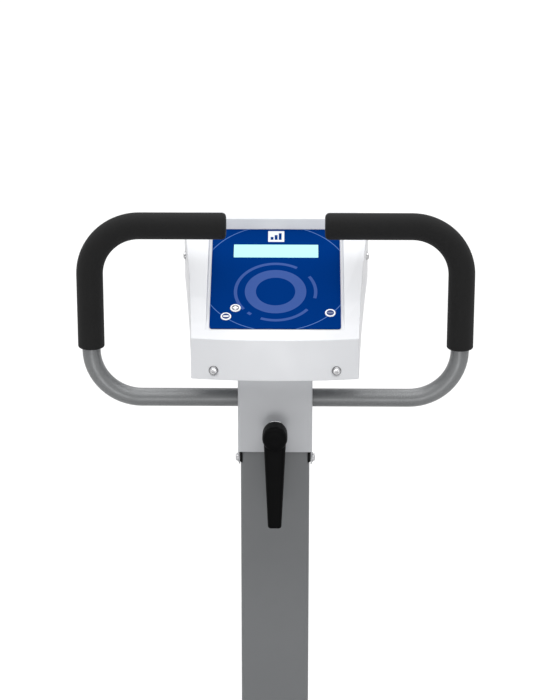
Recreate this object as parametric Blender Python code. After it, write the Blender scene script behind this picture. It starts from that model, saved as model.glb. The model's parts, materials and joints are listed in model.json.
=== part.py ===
"""Upright rehabilitation exercise bike, in metres, +Z up.

The rider sits at -Y and faces +Y. The origin is the middle of the footprint, on the floor.
Each separate physical piece is one object. A moving piece hangs under an empty on its axis.
"""

import math

import bmesh
import bpy
from mathutils import Matrix, Vector

# Clearances
GAP = 0.0003
BELT_GAP = 0.0006

# Overall layout, with front-to-back distances measured from the front column's axis
OVERALL_LENGTH = 0.980
FOOT_SPAN = 0.500
BAR_HEIGHT = 1.030
FRONT_FOOT_REACH = 0.110

# Base
FOOT_TUBE_DEPTH = 0.060
FOOT_TUBE_HEIGHT = 0.040
FOOT_TUBE_WALL = 0.0025
FOOT_CLEARANCE = 0.012
CAP_WALL = 0.004
CAP_LENGTH = 0.060
CAP_TOP_WALL = 0.006
CAP_CORNER = 0.018
CAP_END_WALL = 0.012
CAP_EDGE = 0.003
BEAM_WIDTH = 0.080
BEAM_HEIGHT = 0.050
BEAM_WALL = 0.003
BEAM_CORNER = 0.005
BEAM_OVERHANG = 0.024

# Transport wheels
WHEEL_RADIUS = 0.020
WHEEL_WIDTH = 0.018
WHEEL_LIFT = 0.003
WHEEL_SIDE_GAP = 0.0006
WHEEL_EDGE = 0.003
WHEEL_AXLE_RADIUS = 0.004
WHEEL_BACK_GAP = 0.002
FORK_WALL = 0.007
FORK_NOSE = 0.010

# Front column and the sleeve that carries the head
COLUMN_WIDTH = 0.080
COLUMN_WALL = 0.003
COLUMN_CORNER = 0.004
LINER_THICKNESS = 0.0009
SLEEVE_WALL = 0.0015
SLEEVE_DROP = 0.052
LINER_DROP = 0.066
EAR_RADIUS = 0.009
EAR_SCREW_DROP = 0.075
BLOCK_DROP = 0.040
BLOCK_RISE = 0.022
BLOCK_REAR = 0.026
SLIT = 0.003

# Handlebar loop
BAR_RADIUS = 0.01065
BAR_WALL = 0.0018
GRIP_THICKNESS = 0.0045
GRIP_END_COVER = 0.004
GRIP_CHAMFER = 0.003
LOOP_HALF_WIDTH = 0.214
LOOP_HEIGHT = 0.208
LOOP_BEND = 0.058
LOOP_OPENING = 0.113
GRIP_LEG_START = 0.062

# Clamping lever
STUD_RADIUS = 0.005
STUD_DROP = 0.0225
WASHER_RADIUS = 0.014
WASHER_THICKNESS = 0.003
BOSS_RADIUS = 0.009
BOSS_LENGTH = 0.009
NOSE_RADIUS = 0.006
NOSE_LENGTH = 0.010
HUB_RADIUS = 0.0145
HUB_BASE_RADIUS = 0.0115
HUB_LENGTH = 0.027
LEVER_LENGTH = 0.103
LEVER_SLANT = 0.020
LEVER_ROOT_WIDTH = 0.0256
LEVER_TIP_WIDTH = 0.0152
LEVER_ROOT_DEPTH = 0.015
LEVER_TIP_DEPTH = 0.010

# Flanged button-head screws
SCREW_FLANGE_RADIUS = 0.0059
SCREW_FLANGE = 0.0011
SCREW_HEAD_RADIUS = 0.00475
SCREW_HEAD_HEIGHT = 0.0036
SCREW_RADIUS = 0.0025
SCREW_LENGTH = 0.012
SCREW_SOCKET_RADIUS = 0.0017
SCREW_SOCKET_DEPTH = 0.0018
SCREW_POCKET_GAP = 0.0003
SCREW_CUT_REACH = 0.020

# Console, with heights measured from the bar's axis
CONSOLE_RISE = 0.045
CONSOLE_FRONT = 0.070
CONSOLE_FRONT_WIDTH = 0.191
CONSOLE_FLARE = 0.045
CONSOLE_FLARE_CURVE = 0.26
CONSOLE_FLARE_LENGTH = 0.158
CONSOLE_BOW = 0.008
CONSOLE_REAR_CORNER = 0.025
CONSOLE_FRONT_HEIGHT = 0.0488
LIP_DEPTH = 0.020
LIP_RISE = 0.0067
PANEL_ANGLE = math.radians(27)
PANEL_LENGTH = 0.166
PANEL_WIDTH = 0.1500
PANEL_CORNER = 0.003
PANEL_MARGIN = 0.0015
RECESS_MARGIN = 0.0035
RIM_HEIGHT = 0.0126
RAMP_START = 0.011
RAMP_LENGTH = 0.021
HOOD_DEPTH = 0.041
SHELL_WALL = 0.0025
TRAY_WALL = 0.0025
FOIL_THICKNESS = 0.0009
VIEW_MARGIN = 0.010

# Things on and under the panel, measured from the middle of its front edge
LCD_WIDTH = 0.0988
LCD_LENGTH = 0.0216
LCD_FRONT = 0.1181
LCD_LEDGE = 0.002
KEY_RADIUS = 0.0061
KEY_PLACES = {
    "key_plus": (-0.0458, 0.0341),
    "key_minus": (-0.0564, 0.0205),
    "key_start": (0.0629, 0.0266),
}
KEY_PROUD = 0.0006
KEY_STEM_RADIUS = 0.0025
KEY_TRAVEL = 0.0005
BOARD_DEPTH = 0.012
BOARD_THICKNESS = 0.0016
BOARD_WIDTH = 0.136
BOARD_FRONT = 0.010
BOARD_REAR = 0.150
POST_RADIUS = 0.0035
POST_INSET = 0.008
MODULE_WIDTH = 0.106
MODULE_LENGTH = 0.030

# Screws that hold the console together
FRONT_SCREW_SPREAD = 0.140
FRONT_SCREW_RISE = 0.011
SIDE_SCREW_BACK = 0.080
SIDE_SCREW_RISE = 0.0375
SCREW_BOSS = 0.008
SEAT_DEPTH = 0.0014

# Steel plate between the sleeve and the console
BRACKET_THICKNESS = 0.003
BRACKET_WIDTH = 0.110
BRACKET_FRONT = 0.048
BRACKET_REAR = 0.056

# Seat tube, post and saddle
SEAT_TUBE_BACK = 0.452
SEAT_TUBE_ANGLE = math.radians(12)
SEAT_TUBE_WIDTH = 0.060
SEAT_TUBE_WALL = 0.003
SEAT_TUBE_LENGTH = 0.470
SEAT_TUBE_CORNER = 0.004
BUSH_COLLAR = 0.012
BUSH_DEPTH = 0.060
POST_WIDTH = 0.050
POST_WALL = 0.003
POST_CORNER = 0.004
POST_TOP = 0.680
POST_LENGTH = 0.450
KNOB_DROP = 0.038
KNOB_RADIUS = 0.022
KNOB_LOBES = 5
KNOB_LOBE_DEPTH = 0.004
KNOB_THICKNESS = 0.020
KNOB_STUD_RADIUS = 0.005
KNOB_NECK = 0.016
KNOB_BOSS_RADIUS = 0.011
KNOB_BOSS_LENGTH = 0.009
SADDLE_PLATE_THICKNESS = 0.006
SADDLE_PLATE_WIDTH = 0.080
SADDLE_PLATE_LENGTH = 0.120
SADDLE_SOCKET_WALL = 0.004
SADDLE_SOCKET_LENGTH = 0.045
SADDLE_LENGTH = 0.275
SADDLE_FORWARD = 0.150
SADDLE_HALF_WIDTH = 0.120
SADDLE_NOSE_HALF_WIDTH = 0.038
SADDLE_BASE_THICKNESS = 0.018
SADDLE_TRIM = 0.003
SADDLE_BELT = 0.35
SADDLE_TUCK = 0.08
SADDLE_NOSE_DIP = 0.18
SADDLE_END_DIP = 0.42
CUSHION_THICKNESS = 0.058
CUSHION_OVERHANG = 0.006

# Drive
CRANK_BACK = 0.310
CRANK_HEIGHT = 0.300
CRANK_LENGTH = 0.170
CRANK_REST = math.radians(-32)
CRANK_AXLE_RADIUS = 0.0085
ARM_THICKNESS = 0.014
ARM_BIG_RADIUS = 0.020
ARM_SMALL_RADIUS = 0.014
ARM_INNER = 0.060
ARM_EDGE = 0.002
JOIN_OVERLAP = 0.004
SPINDLE_RADIUS = 0.007
SPINDLE_LENGTH = 0.092
PEDAL_GAP = 0.002
PEDAL_WIDTH = 0.096
PEDAL_LENGTH = 0.104
PEDAL_ABOVE = 0.009
PEDAL_BELOW = 0.017
PEDAL_CORNER = 0.016
STRAP_RISE = 0.062
STRAP_THICKNESS = 0.0025
STRAP_WIDTH = 0.030
STRAP_INSET = 0.004
STRAP_FORWARD = 0.012
PULLEY_RADIUS = 0.100
PULLEY_WIDTH = 0.014
PULLEY_PLANE = 0.027
PULLEY_WEB = 0.004
PULLEY_RIM = 0.009
PULLEY_HUB_RADIUS = 0.022
FLYWHEEL_BACK = 0.175
FLYWHEEL_HEIGHT = 0.215
FLYWHEEL_RADIUS = 0.095
FLYWHEEL_WIDTH = 0.024
FLYWHEEL_PLANE = -0.0325
SMALL_PULLEY_RADIUS = 0.025
BELT_THICKNESS = 0.003
BELT_WIDTH = 0.010
MAGNET_CHEEK = 0.006
MAGNET_AIR_GAP = 0.0015
MAGNET_WEB = 0.013
MAGNET_GRIP = 0.020
MAGNET_LENGTH = 0.040
PLATE_LEFT = -0.012
PLATE_RIGHT = -0.004
BEARING_TUBE_RADIUS = 0.022
BEARING_TUBE_LEFT = -0.034
BEARING_TUBE_RIGHT = 0.014
BEARING_RADIUS = 0.0175
BEARING_WIDTH = 0.011
BRACKET_FOOT_WIDTH = 0.034
BRACKET_FOOT_THICKNESS = 0.006

# Housing
HOUSING_HALF_WIDTH = 0.055
HOUSING_WALL = 0.0025
HOUSING_CRANK_MARGIN = 0.030
HOUSING_FLYWHEEL_MARGIN = 0.0165
HOUSING_EDGE = 0.012
HOUSING_FOOT_RADIUS = 0.015
HOUSING_FOOT_FRONT = 0.058
HOUSING_FOOT_REAR = 0.395
HOUSING_SLOT = 0.020
HOUSING_AXLE_GAP = 0.004

# Numbers of facets
ROUND_SIDES = 28
SMALL_SIDES = 16
SCREW_SIDES = 12
TUBE_SIDES = 12
BEND_STEPS = 6
BOW_STEPS = 8
CORNER_STEPS = 3
HULL_STEPS = 48
SHARP_ANGLE = math.radians(35)

# Sizes that follow from the ones above
WHEEL_CENTRE = FOOT_TUBE_DEPTH / 2 + CAP_WALL + WHEEL_BACK_GAP + WHEEL_RADIUS
FRONT_REACH = FRONT_FOOT_REACH + WHEEL_CENTRE + WHEEL_RADIUS
COLUMN_Y = OVERALL_LENGTH / 2 - FRONT_REACH
FRONT_FOOT_Y = COLUMN_Y + FRONT_FOOT_REACH
CAP_HALF_DEPTH = FOOT_TUBE_DEPTH / 2 + CAP_WALL
REAR_FOOT_Y = -OVERALL_LENGTH / 2 + CAP_HALF_DEPTH
FOOT_TOP = FOOT_CLEARANCE + FOOT_TUBE_HEIGHT
BEAM_BOTTOM = FOOT_TOP + GAP
BEAM_TOP = BEAM_BOTTOM + BEAM_HEIGHT
LINER_SPACE = LINER_THICKNESS + 2 * GAP
SLEEVE_WIDTH = COLUMN_WIDTH + 2 * (LINER_SPACE + SLEEVE_WALL)
SLEEVE_INNER = SLEEVE_WIDTH - 2 * SLEEVE_WALL
COLUMN_TOP = BAR_HEIGHT - BLOCK_DROP - GAP
GRIP_RADIUS = BAR_RADIUS + GAP + GRIP_THICKNESS
PANEL_FRONT = CONSOLE_FRONT - LIP_DEPTH
PANEL_RISE = CONSOLE_RISE + CONSOLE_FRONT_HEIGHT + LIP_RISE
PANEL_SLOPE = math.tan(PANEL_ANGLE)
FLOOR_LEVEL = -(FOIL_THICKNESS + GAP)
FLOOR_UNDERSIDE = FLOOR_LEVEL - SHELL_WALL
RECESS_LENGTH = PANEL_LENGTH + GAP - FLOOR_LEVEL * PANEL_SLOPE
HOOD_WALL = RECESS_LENGTH * math.cos(PANEL_ANGLE) - PANEL_FRONT
HOOD_RISE = PANEL_RISE + (HOOD_WALL + PANEL_FRONT) * PANEL_SLOPE + RIM_HEIGHT
CONSOLE_REAR = HOOD_WALL + HOOD_DEPTH
PEDAL_INNER = ARM_INNER + ARM_THICKNESS + PEDAL_GAP
BUSH_OUTER = SEAT_TUBE_WIDTH - 2 * SEAT_TUBE_WALL - 2 * GAP
BUSH_INNER = POST_WIDTH + 2 * GAP


# Materials
def finish(name, colour, roughness, metallic=0.0):
    """A Principled material with one colour."""
    material = bpy.data.materials.new(name)
    material.use_nodes = True
    shader = material.node_tree.nodes["Principled BSDF"]
    shader.inputs["Base Color"].default_value = (*colour, 1)
    shader.inputs["Roughness"].default_value = roughness
    shader.inputs["Metallic"].default_value = metallic
    return material


def make_finishes():
    """The finishes that the bike's pieces share, by name."""
    return {
        "white_shell": finish("white_shell", (0.84, 0.85, 0.87), 0.35),
        "panel_blue": finish("panel_blue", (0.002, 0.035, 0.21), 0.30),
        "lcd_lens": finish("lcd_lens", (0.60, 1.00, 1.00), 0.15),
        "black_plastic": finish("black_plastic", (0.012, 0.013, 0.014), 0.45),
        "foam": finish("foam", (0.022, 0.022, 0.023), 0.75),
        "board_green": finish("board_green", (0.02, 0.16, 0.07), 0.5),
        "key_white": finish("key_white", (0.75, 0.78, 0.85), 0.35),
        "light_grey_paint": finish("light_grey_paint", (0.42, 0.43, 0.46), 0.40, 0.1),
        "mid_grey_paint": finish("mid_grey_paint", (0.25, 0.27, 0.28), 0.38, 0.3),
        "dark_grey_paint": finish("dark_grey_paint", (0.155, 0.16, 0.165), 0.45, 0.1),
        "zinc": finish("zinc", (0.60, 0.60, 0.61), 0.30, 1.0),
        "chrome": finish("chrome", (0.75, 0.76, 0.78), 0.15, 1.0),
        "aluminium": finish("aluminium", (0.60, 0.61, 0.62), 0.35, 1.0),
        "cast_iron": finish("cast_iron", (0.10, 0.10, 0.11), 0.60, 0.8),
        "seat_vinyl": finish("seat_vinyl", (0.018, 0.018, 0.020), 0.55),
        "rubber": finish("rubber", (0.015, 0.015, 0.015), 0.85),
    }


# Outlines, each a list of points in a plane, run anticlockwise
def arc(centre, radius, start, end, steps):
    """Points on an arc, both ends included. The angles are in degrees."""
    points = []
    for step in range(steps + 1):
        angle = math.radians(start + (end - start) * step / steps)
        x = centre[0] + radius * math.cos(angle)
        y = centre[1] + radius * math.sin(angle)
        points.append((x, y))
    return points


def rectangle(left, right, bottom, top):
    """The four corners of a rectangle."""
    return [(left, bottom), (right, bottom), (right, top), (left, top)]


def rounded_rectangle(width, depth, radius, steps=CORNER_STEPS):
    """A rectangle round the origin with its corners rounded."""
    x = width / 2 - radius
    y = depth / 2 - radius
    points = []
    for turn, centre in enumerate(((x, y), (-x, y), (-x, -y), (x, -y))):
        points += arc(centre, radius, 90 * turn, 90 * turn + 90, steps)
    return points


def circle(radius, sides, centre=(0, 0)):
    """A polygon that stands for a circle, with its first point at +X."""
    return arc(centre, radius, 0, 360, sides)[:-1]


def rounded_hull(circles, inset=0.0, steps=HULL_STEPS):
    """The taut outline round some circles, each (x, y, radius), drawn in by the inset."""
    points = []
    for step in range(steps):
        angle = 2 * math.pi * step / steps
        across = math.cos(angle)
        up = math.sin(angle)
        x, y, radius = max(circles, key=lambda c: c[0] * across + c[1] * up + c[2])
        points.append((x + (radius - inset) * across, y + (radius - inset) * up))
    return points


# Solids
def object_from(name, bm, parent, material):
    """Wraps a finished bmesh as an object under its parent."""
    bmesh.ops.recalc_face_normals(bm, faces=bm.faces)
    mesh = bpy.data.meshes.new(name)
    bm.to_mesh(mesh)
    bm.free()
    if material:
        mesh.materials.append(material)
    mesh.shade_smooth()
    mesh.set_sharp_from_angle(angle=SHARP_ANGLE)
    made = bpy.data.objects.new(name, mesh)
    made.parent = parent
    bpy.context.collection.objects.link(made)
    return made


def skin(name, rings, parent=None, material=None, closed=False):
    """A solid whose skin runs from ring to ring: capped at its ends, or closed on itself."""
    bm = bmesh.new()
    made = [[bm.verts.new(point) for point in ring] for ring in rings]
    pairs = list(zip(made, made[1:]))
    if closed:
        pairs.append((made[-1], made[0]))
    for low, high in pairs:
        count = len(low)
        for i in range(count):
            j = (i + 1) % count
            bm.faces.new((low[i], low[j], high[j], high[i]))
    if not closed:
        bm.faces.new(made[0])
        bm.faces.new(made[-1])
    return object_from(name, bm, parent, material)


def place(plane, point, height):
    """A point of an outline, lifted off its plane."""
    u, v = point
    if plane == "XY":
        return Vector((u, v, height))
    if plane == "XZ":
        return Vector((u, height, v))
    return Vector((height, u, v))


def extruded(name, plane, outline, low, high, parent=None, material=None):
    """An outline in the XY, XZ or YZ plane, extruded from one height to another."""
    rings = [[place(plane, point, height) for point in outline] for height in (low, high)]
    return skin(name, rings, parent, material)


def chamfered(name, plane, outlines, heights, parent=None, material=None):
    """Outlines with as many points each, stacked at their heights."""
    rings = []
    for outline, height in zip(outlines, heights):
        rings.append([place(plane, point, height) for point in outline])
    return skin(name, rings, parent, material)


def hollow_bar(name, plane, outer, inner, low, high, parent=None, material=None):
    """A tube with open ends, from an outer and an inner outline of as many points."""
    rings = []
    for outline, height in ((outer, low), (outer, high), (inner, high), (inner, low)):
        rings.append([place(plane, point, height) for point in outline])
    return skin(name, rings, parent, material, closed=True)


def turned(name, axis, profile, parent=None, material=None, sides=ROUND_SIDES, bored=False):
    """A profile of (radius, height) points turned round an axis, closed on itself if bored."""
    plane = {"X": "YZ", "Y": "XZ", "Z": "XY"}[axis]
    rings = []
    for radius, height in profile:
        rings.append([place(plane, point, height) for point in circle(radius, sides)])
    return skin(name, rings, parent, material, closed=bored)


def box(name, size_x, size_y, size_z, parent=None, material=None):
    """A block from its (low, high) pairs along X, Y and Z."""
    outline = rectangle(size_x[0], size_x[1], size_y[0], size_y[1])
    return extruded(name, "XY", outline, size_z[0], size_z[1], parent, material)


def rod(name, axis, radius, low, high, centre=(0, 0), parent=None, sides=SMALL_SIDES):
    """A plain round rod, whose centre is given in the plane across its axis."""
    plane = {"X": "YZ", "Y": "XZ", "Z": "XY"}[axis]
    return extruded(name, plane, circle(radius, sides, centre), low, high, parent)


def boolean(target, tool, operation):
    """Cuts or joins a hidden tool, which stays in the scene as a guide."""
    tool.hide_render = True
    tool.display_type = "WIRE"
    modifier = target.modifiers.new(tool.name, "BOOLEAN")
    modifier.object = tool
    modifier.operation = operation
    modifier.solver = "EXACT"


def cut(target, *tools):
    for tool in tools:
        boolean(target, tool, "DIFFERENCE")


def join(target, *tools):
    for tool in tools:
        boolean(target, tool, "UNION")


def keep_inside(target, tool):
    boolean(target, tool, "INTERSECT")


def empty(name, parent, location, tilt=0.0):
    """A pivot or a frame, turned about X by the tilt."""
    made = bpy.data.objects.new(name, None)
    made.parent = parent
    made.location = location
    made.rotation_euler = (tilt, 0, 0)
    bpy.context.collection.objects.link(made)
    return made


# Base: two cross feet under one beam
def make_foot(name, y, finishes):
    """A cross tube, open at both ends, which the caps close."""
    half = FOOT_SPAN / 2 - CAP_END_WALL - GAP
    outer = rounded_rectangle(FOOT_TUBE_DEPTH, FOOT_TUBE_HEIGHT, CAP_WALL)
    inner_depth = FOOT_TUBE_DEPTH - 2 * FOOT_TUBE_WALL
    inner_height = FOOT_TUBE_HEIGHT - 2 * FOOT_TUBE_WALL
    inner = rounded_rectangle(inner_depth, inner_height, CAP_WALL - FOOT_TUBE_WALL)
    foot = hollow_bar(name, "YZ", outer, inner, -half, half, None, finishes["dark_grey_paint"])
    foot.location = (0, y, FOOT_CLEARANCE + FOOT_TUBE_HEIGHT / 2)
    return foot


def cap_outline(side, inset):
    """A cap seen from above: square inwards, well rounded at its outer end."""
    inner = FOOT_SPAN / 2 - CAP_LENGTH + inset
    outer = FOOT_SPAN / 2 - inset
    depth = CAP_HALF_DEPTH - inset
    radius = CAP_CORNER - inset
    points = [(inner, -depth)]
    points += arc((outer - radius, -depth + radius), radius, -90, 0, 2 * CORNER_STEPS)
    points += arc((outer - radius, depth - radius), radius, 0, 90, 2 * CORNER_STEPS)
    points += [(inner, depth)]
    return [(side * x, y) for x, y in points]


def make_cap(name, side, y, finishes):
    """A moulded end cap that the bike stands on."""
    top = FOOT_TOP + CAP_TOP_WALL
    outlines = [cap_outline(side, CAP_EDGE), cap_outline(side, 0)]
    outlines += [cap_outline(side, 0), cap_outline(side, CAP_EDGE)]
    heights = (0, CAP_EDGE, top - CAP_EDGE, top)
    cap = chamfered(name, "XY", outlines, heights, None, finishes["black_plastic"])
    cap.location = (0, y, 0)
    half_depth = FOOT_TUBE_DEPTH / 2 + GAP
    half_height = FOOT_TUBE_HEIGHT / 2 + GAP
    centre = FOOT_CLEARANCE + FOOT_TUBE_HEIGHT / 2
    ends = sorted((side * (FOOT_SPAN / 2 - 2 * CAP_LENGTH), side * (FOOT_SPAN / 2 - CAP_END_WALL)))
    pocket = box(
        name + "_pocket",
        ends,
        (-half_depth, half_depth),
        (centre - half_height, centre + half_height),
        cap,
    )
    cut(cap, pocket)
    return cap


def add_wheel_fork(cap, side):
    """Two lugs on the front of a cap, with a hole across them for the wheel's axle."""
    middle = side * (FOOT_SPAN / 2 - CAP_LENGTH / 2)
    half_slot = WHEEL_WIDTH / 2 + WHEEL_SIDE_GAP
    half_fork = half_slot + FORK_WALL
    axle_height = WHEEL_LIFT + WHEEL_RADIUS
    front = CAP_HALF_DEPTH
    outline = [(front - CAP_WALL / 2, axle_height - FORK_NOSE)]
    outline += arc((WHEEL_CENTRE, axle_height), FORK_NOSE, -90, 90, 2 * CORNER_STEPS)
    outline += [(front - CAP_WALL / 2, axle_height + FORK_NOSE)]
    for number, lug_side in enumerate((-1, 1)):
        ends = sorted((middle + lug_side * half_slot, middle + lug_side * half_fork))
        lug = extruded(f"{cap.name}_lug_{number}", "YZ", outline, ends[0], ends[1], cap)
        join(cap, lug)
    hole = rod(
        cap.name + "_axle_hole",
        "X",
        WHEEL_AXLE_RADIUS + GAP,
        middle - CAP_LENGTH / 2,
        middle + CAP_LENGTH / 2,
        (WHEEL_CENTRE, axle_height),
        cap,
    )
    cut(cap, hole)


def make_wheel(label, side, finishes):
    """A rubber transport wheel on its own pivot, and the pin through it."""
    middle = side * (FOOT_SPAN / 2 - CAP_LENGTH / 2)
    place_of_axle = (middle, FRONT_FOOT_Y + WHEEL_CENTRE, WHEEL_LIFT + WHEEL_RADIUS)
    pivot = empty(f"wheel_pivot_{label}", None, place_of_axle)
    half = WHEEL_WIDTH / 2
    bore = WHEEL_AXLE_RADIUS + GAP
    shoulder = WHEEL_RADIUS - WHEEL_EDGE
    profile = [(bore, -half), (shoulder, -half), (WHEEL_RADIUS, -half + WHEEL_EDGE)]
    profile += [(WHEEL_RADIUS, half - WHEEL_EDGE), (shoulder, half), (bore, half)]
    turned(
        f"transport_wheel_{label}",
        "X",
        profile,
        pivot,
        finishes["rubber"],
        sides=24,
        bored=True,
    )
    reach = half + WHEEL_SIDE_GAP + FORK_WALL
    pin = turned(
        f"wheel_axle_{label}",
        "X",
        [(WHEEL_AXLE_RADIUS, -reach), (WHEEL_AXLE_RADIUS, reach)],
        None,
        finishes["zinc"],
        sides=SMALL_SIDES,
    )
    pin.location = place_of_axle


def make_beam(finishes):
    """The long beam between the feet, a tube with open ends."""
    outer = rounded_rectangle(BEAM_WIDTH, BEAM_HEIGHT, BEAM_CORNER)
    inner = rounded_rectangle(
        BEAM_WIDTH - 2 * BEAM_WALL, BEAM_HEIGHT - 2 * BEAM_WALL, BEAM_CORNER - BEAM_WALL
    )
    rear = REAR_FOOT_Y - BEAM_OVERHANG
    front = FRONT_FOOT_Y + BEAM_OVERHANG
    paint = finishes["dark_grey_paint"]
    beam = hollow_bar("base_beam", "XZ", outer, inner, rear, front, None, paint)
    beam.location = (0, 0, BEAM_BOTTOM + BEAM_HEIGHT / 2)


def make_base(finishes):
    make_beam(finishes)
    make_foot("front_foot", FRONT_FOOT_Y, finishes)
    make_foot("rear_foot", REAR_FOOT_Y, finishes)
    for label, side in (("left", -1), ("right", 1)):
        front_cap = make_cap(f"foot_cap_front_{label}", side, FRONT_FOOT_Y, finishes)
        add_wheel_fork(front_cap, side)
        make_cap(f"foot_cap_rear_{label}", side, REAR_FOOT_Y, finishes)
        make_wheel(label, side, finishes)


# Front column and head sleeve
def square_ring(name, width, wall, corner, low, high, parent, material):
    """A square tube standing on end, with rounded corners."""
    outer = rounded_rectangle(width, width, corner)
    inner = rounded_rectangle(width - 2 * wall, width - 2 * wall, max(corner - wall, GAP))
    return hollow_bar(name, "XY", outer, inner, low, high, parent, material)


def make_column(finishes):
    column = square_ring(
        "front_column",
        COLUMN_WIDTH,
        COLUMN_WALL,
        COLUMN_CORNER,
        BEAM_TOP + GAP,
        COLUMN_TOP,
        None,
        finishes["dark_grey_paint"],
    )
    column.location = (0, COLUMN_Y, 0)
    holes = rod(
        "column_screw_holes",
        "X",
        SCREW_RADIUS + GAP,
        -COLUMN_WIDTH,
        COLUMN_WIDTH,
        (0, BAR_HEIGHT - EAR_SCREW_DROP),
        column,
    )
    cut(column, holes)


def make_liner(head, finishes):
    """The black glide liner between column and sleeve, longer at the sides than in front."""
    width = COLUMN_WIDTH + 2 * (GAP + LINER_THICKNESS)
    liner = square_ring(
        "column_liner",
        width,
        LINER_THICKNESS,
        COLUMN_CORNER + GAP + LINER_THICKNESS,
        -LINER_DROP,
        -BLOCK_DROP - GAP,
        head,
        finishes["black_plastic"],
    )
    half = COLUMN_WIDTH / 2 - COLUMN_CORNER / 2
    trim = box(
        "liner_trim",
        (-half, half),
        (-width, width),
        (-2 * LINER_DROP, -SLEEVE_DROP + GAP),
        head,
    )
    cut(liner, trim)


def ear_outline():
    """What is cut from below the sleeve, leaving a rounded ear on each side."""
    half = SLEEVE_WIDTH / 2 - SLEEVE_WALL
    low = -EAR_SCREW_DROP - 3 * EAR_RADIUS
    drop = EAR_SCREW_DROP - SLEEVE_DROP
    reach = math.hypot(half, drop)
    lean = math.degrees(math.atan2(drop, half) + math.asin(EAR_RADIUS / reach))
    points = [(-2 * half, low), (2 * half, low), (2 * half, -SLEEVE_DROP), (half, -SLEEVE_DROP)]
    centre = (0, -EAR_SCREW_DROP)
    points += arc(centre, EAR_RADIUS, lean - 90, -90 - lean, 2 * CORNER_STEPS)
    points += [(-half, -SLEEVE_DROP), (-2 * half, -SLEEVE_DROP)]
    return points


def under_line(back):
    """Height of the console's underside at a distance behind the bar's axis."""
    return CONSOLE_RISE + max(back + PANEL_FRONT, 0) * PANEL_SLOPE


def bracket_outline():
    """Side view of the steel plate under the console."""
    drop = BRACKET_THICKNESS / math.cos(PANEL_ANGLE)
    front = -BRACKET_FRONT
    rear = BRACKET_REAR
    gap = GAP / math.cos(PANEL_ANGLE)
    return [
        (front, under_line(front) - gap - drop),
        (rear, under_line(rear) - gap - drop),
        (rear, under_line(rear) - gap),
        (front, under_line(front) - gap),
    ]


def make_sleeve(head, finishes):
    """The light grey head that slips over the column and carries bar, lever and console."""
    sleeve = square_ring(
        "head_sleeve",
        SLEEVE_WIDTH,
        SLEEVE_WALL,
        COLUMN_CORNER,
        -EAR_SCREW_DROP - EAR_RADIUS - GAP,
        under_line(SLEEVE_WIDTH),
        head,
        finishes["light_grey_paint"],
    )
    ears = extruded("sleeve_ear_cut", "YZ", ear_outline(), -SLEEVE_WIDTH, SLEEVE_WIDTH, head)
    drop = (BRACKET_THICKNESS + 2 * GAP) / math.cos(PANEL_ANGLE)
    reach = 2 * SLEEVE_WIDTH
    slant = [
        (-reach, under_line(0) - drop - reach * PANEL_SLOPE),
        (reach, under_line(0) - drop + reach * PANEL_SLOPE),
        (-reach, 2 * reach),
    ]
    top = extruded("sleeve_top_cut", "YZ", slant, -SLEEVE_WIDTH, SLEEVE_WIDTH, head)
    radius = BAR_RADIUS + GAP
    ends = (-SLEEVE_WIDTH, SLEEVE_WIDTH)
    bar = rod("sleeve_bar_holes", "X", radius, *ends, (0, 0), head, ROUND_SIDES)
    screws = rod(
        "sleeve_screw_holes",
        "X",
        SCREW_RADIUS + GAP,
        -SLEEVE_WIDTH,
        SLEEVE_WIDTH,
        (0, -EAR_SCREW_DROP),
        head,
    )
    stud = rod(
        "sleeve_stud_hole",
        "Y",
        STUD_RADIUS + GAP,
        -SLEEVE_WIDTH,
        0,
        (0, -STUD_DROP),
        head,
    )
    cut(sleeve, ears, top, bar, screws, stud)


def make_clamp_block(head, finishes):
    """An aluminium block in the sleeve, bored for the bar and slit so that the stud pinches it."""
    half = SLEEVE_INNER / 2 - GAP
    corner = COLUMN_CORNER - SLEEVE_WALL
    inner = half - corner
    outline = [(half, BLOCK_REAR), (-half, BLOCK_REAR)]
    outline += arc((-inner, -inner), corner, 180, 270, CORNER_STEPS)
    outline += arc((inner, -inner), corner, 270, 360, CORNER_STEPS)
    paint = finishes["aluminium"]
    block = extruded("clamp_block", "XY", outline, -BLOCK_DROP, BLOCK_RISE, head, paint)
    radius = BAR_RADIUS + GAP
    bore = rod("block_bore", "X", radius, -2 * half, 2 * half, (0, 0), head, ROUND_SIDES)
    slit = box(
        "block_slit",
        (-2 * half, 2 * half),
        (-SLIT / 2, SLIT / 2),
        (-2 * BLOCK_DROP, -BAR_RADIUS / 2),
        head,
    )
    stud = rod("block_stud_hole", "Y", STUD_RADIUS + GAP, -2 * half, half, (0, -STUD_DROP), head)
    cut(block, bore, slit, stud)


def screw_profile():
    """A flanged button head, with heights measured outwards from its seat."""
    dome = SCREW_HEAD_HEIGHT - SCREW_FLANGE
    return [
        (SCREW_RADIUS * 0.8, -SCREW_LENGTH),
        (SCREW_RADIUS, -SCREW_LENGTH + SCREW_RADIUS * 0.3),
        (SCREW_RADIUS, 0),
        (SCREW_FLANGE_RADIUS, 0),
        (SCREW_FLANGE_RADIUS, SCREW_FLANGE * 0.6),
        (SCREW_HEAD_RADIUS, SCREW_FLANGE),
        (SCREW_HEAD_RADIUS * 0.88, SCREW_FLANGE + dome * 0.55),
        (SCREW_HEAD_RADIUS * 0.55, SCREW_HEAD_HEIGHT),
    ]


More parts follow.
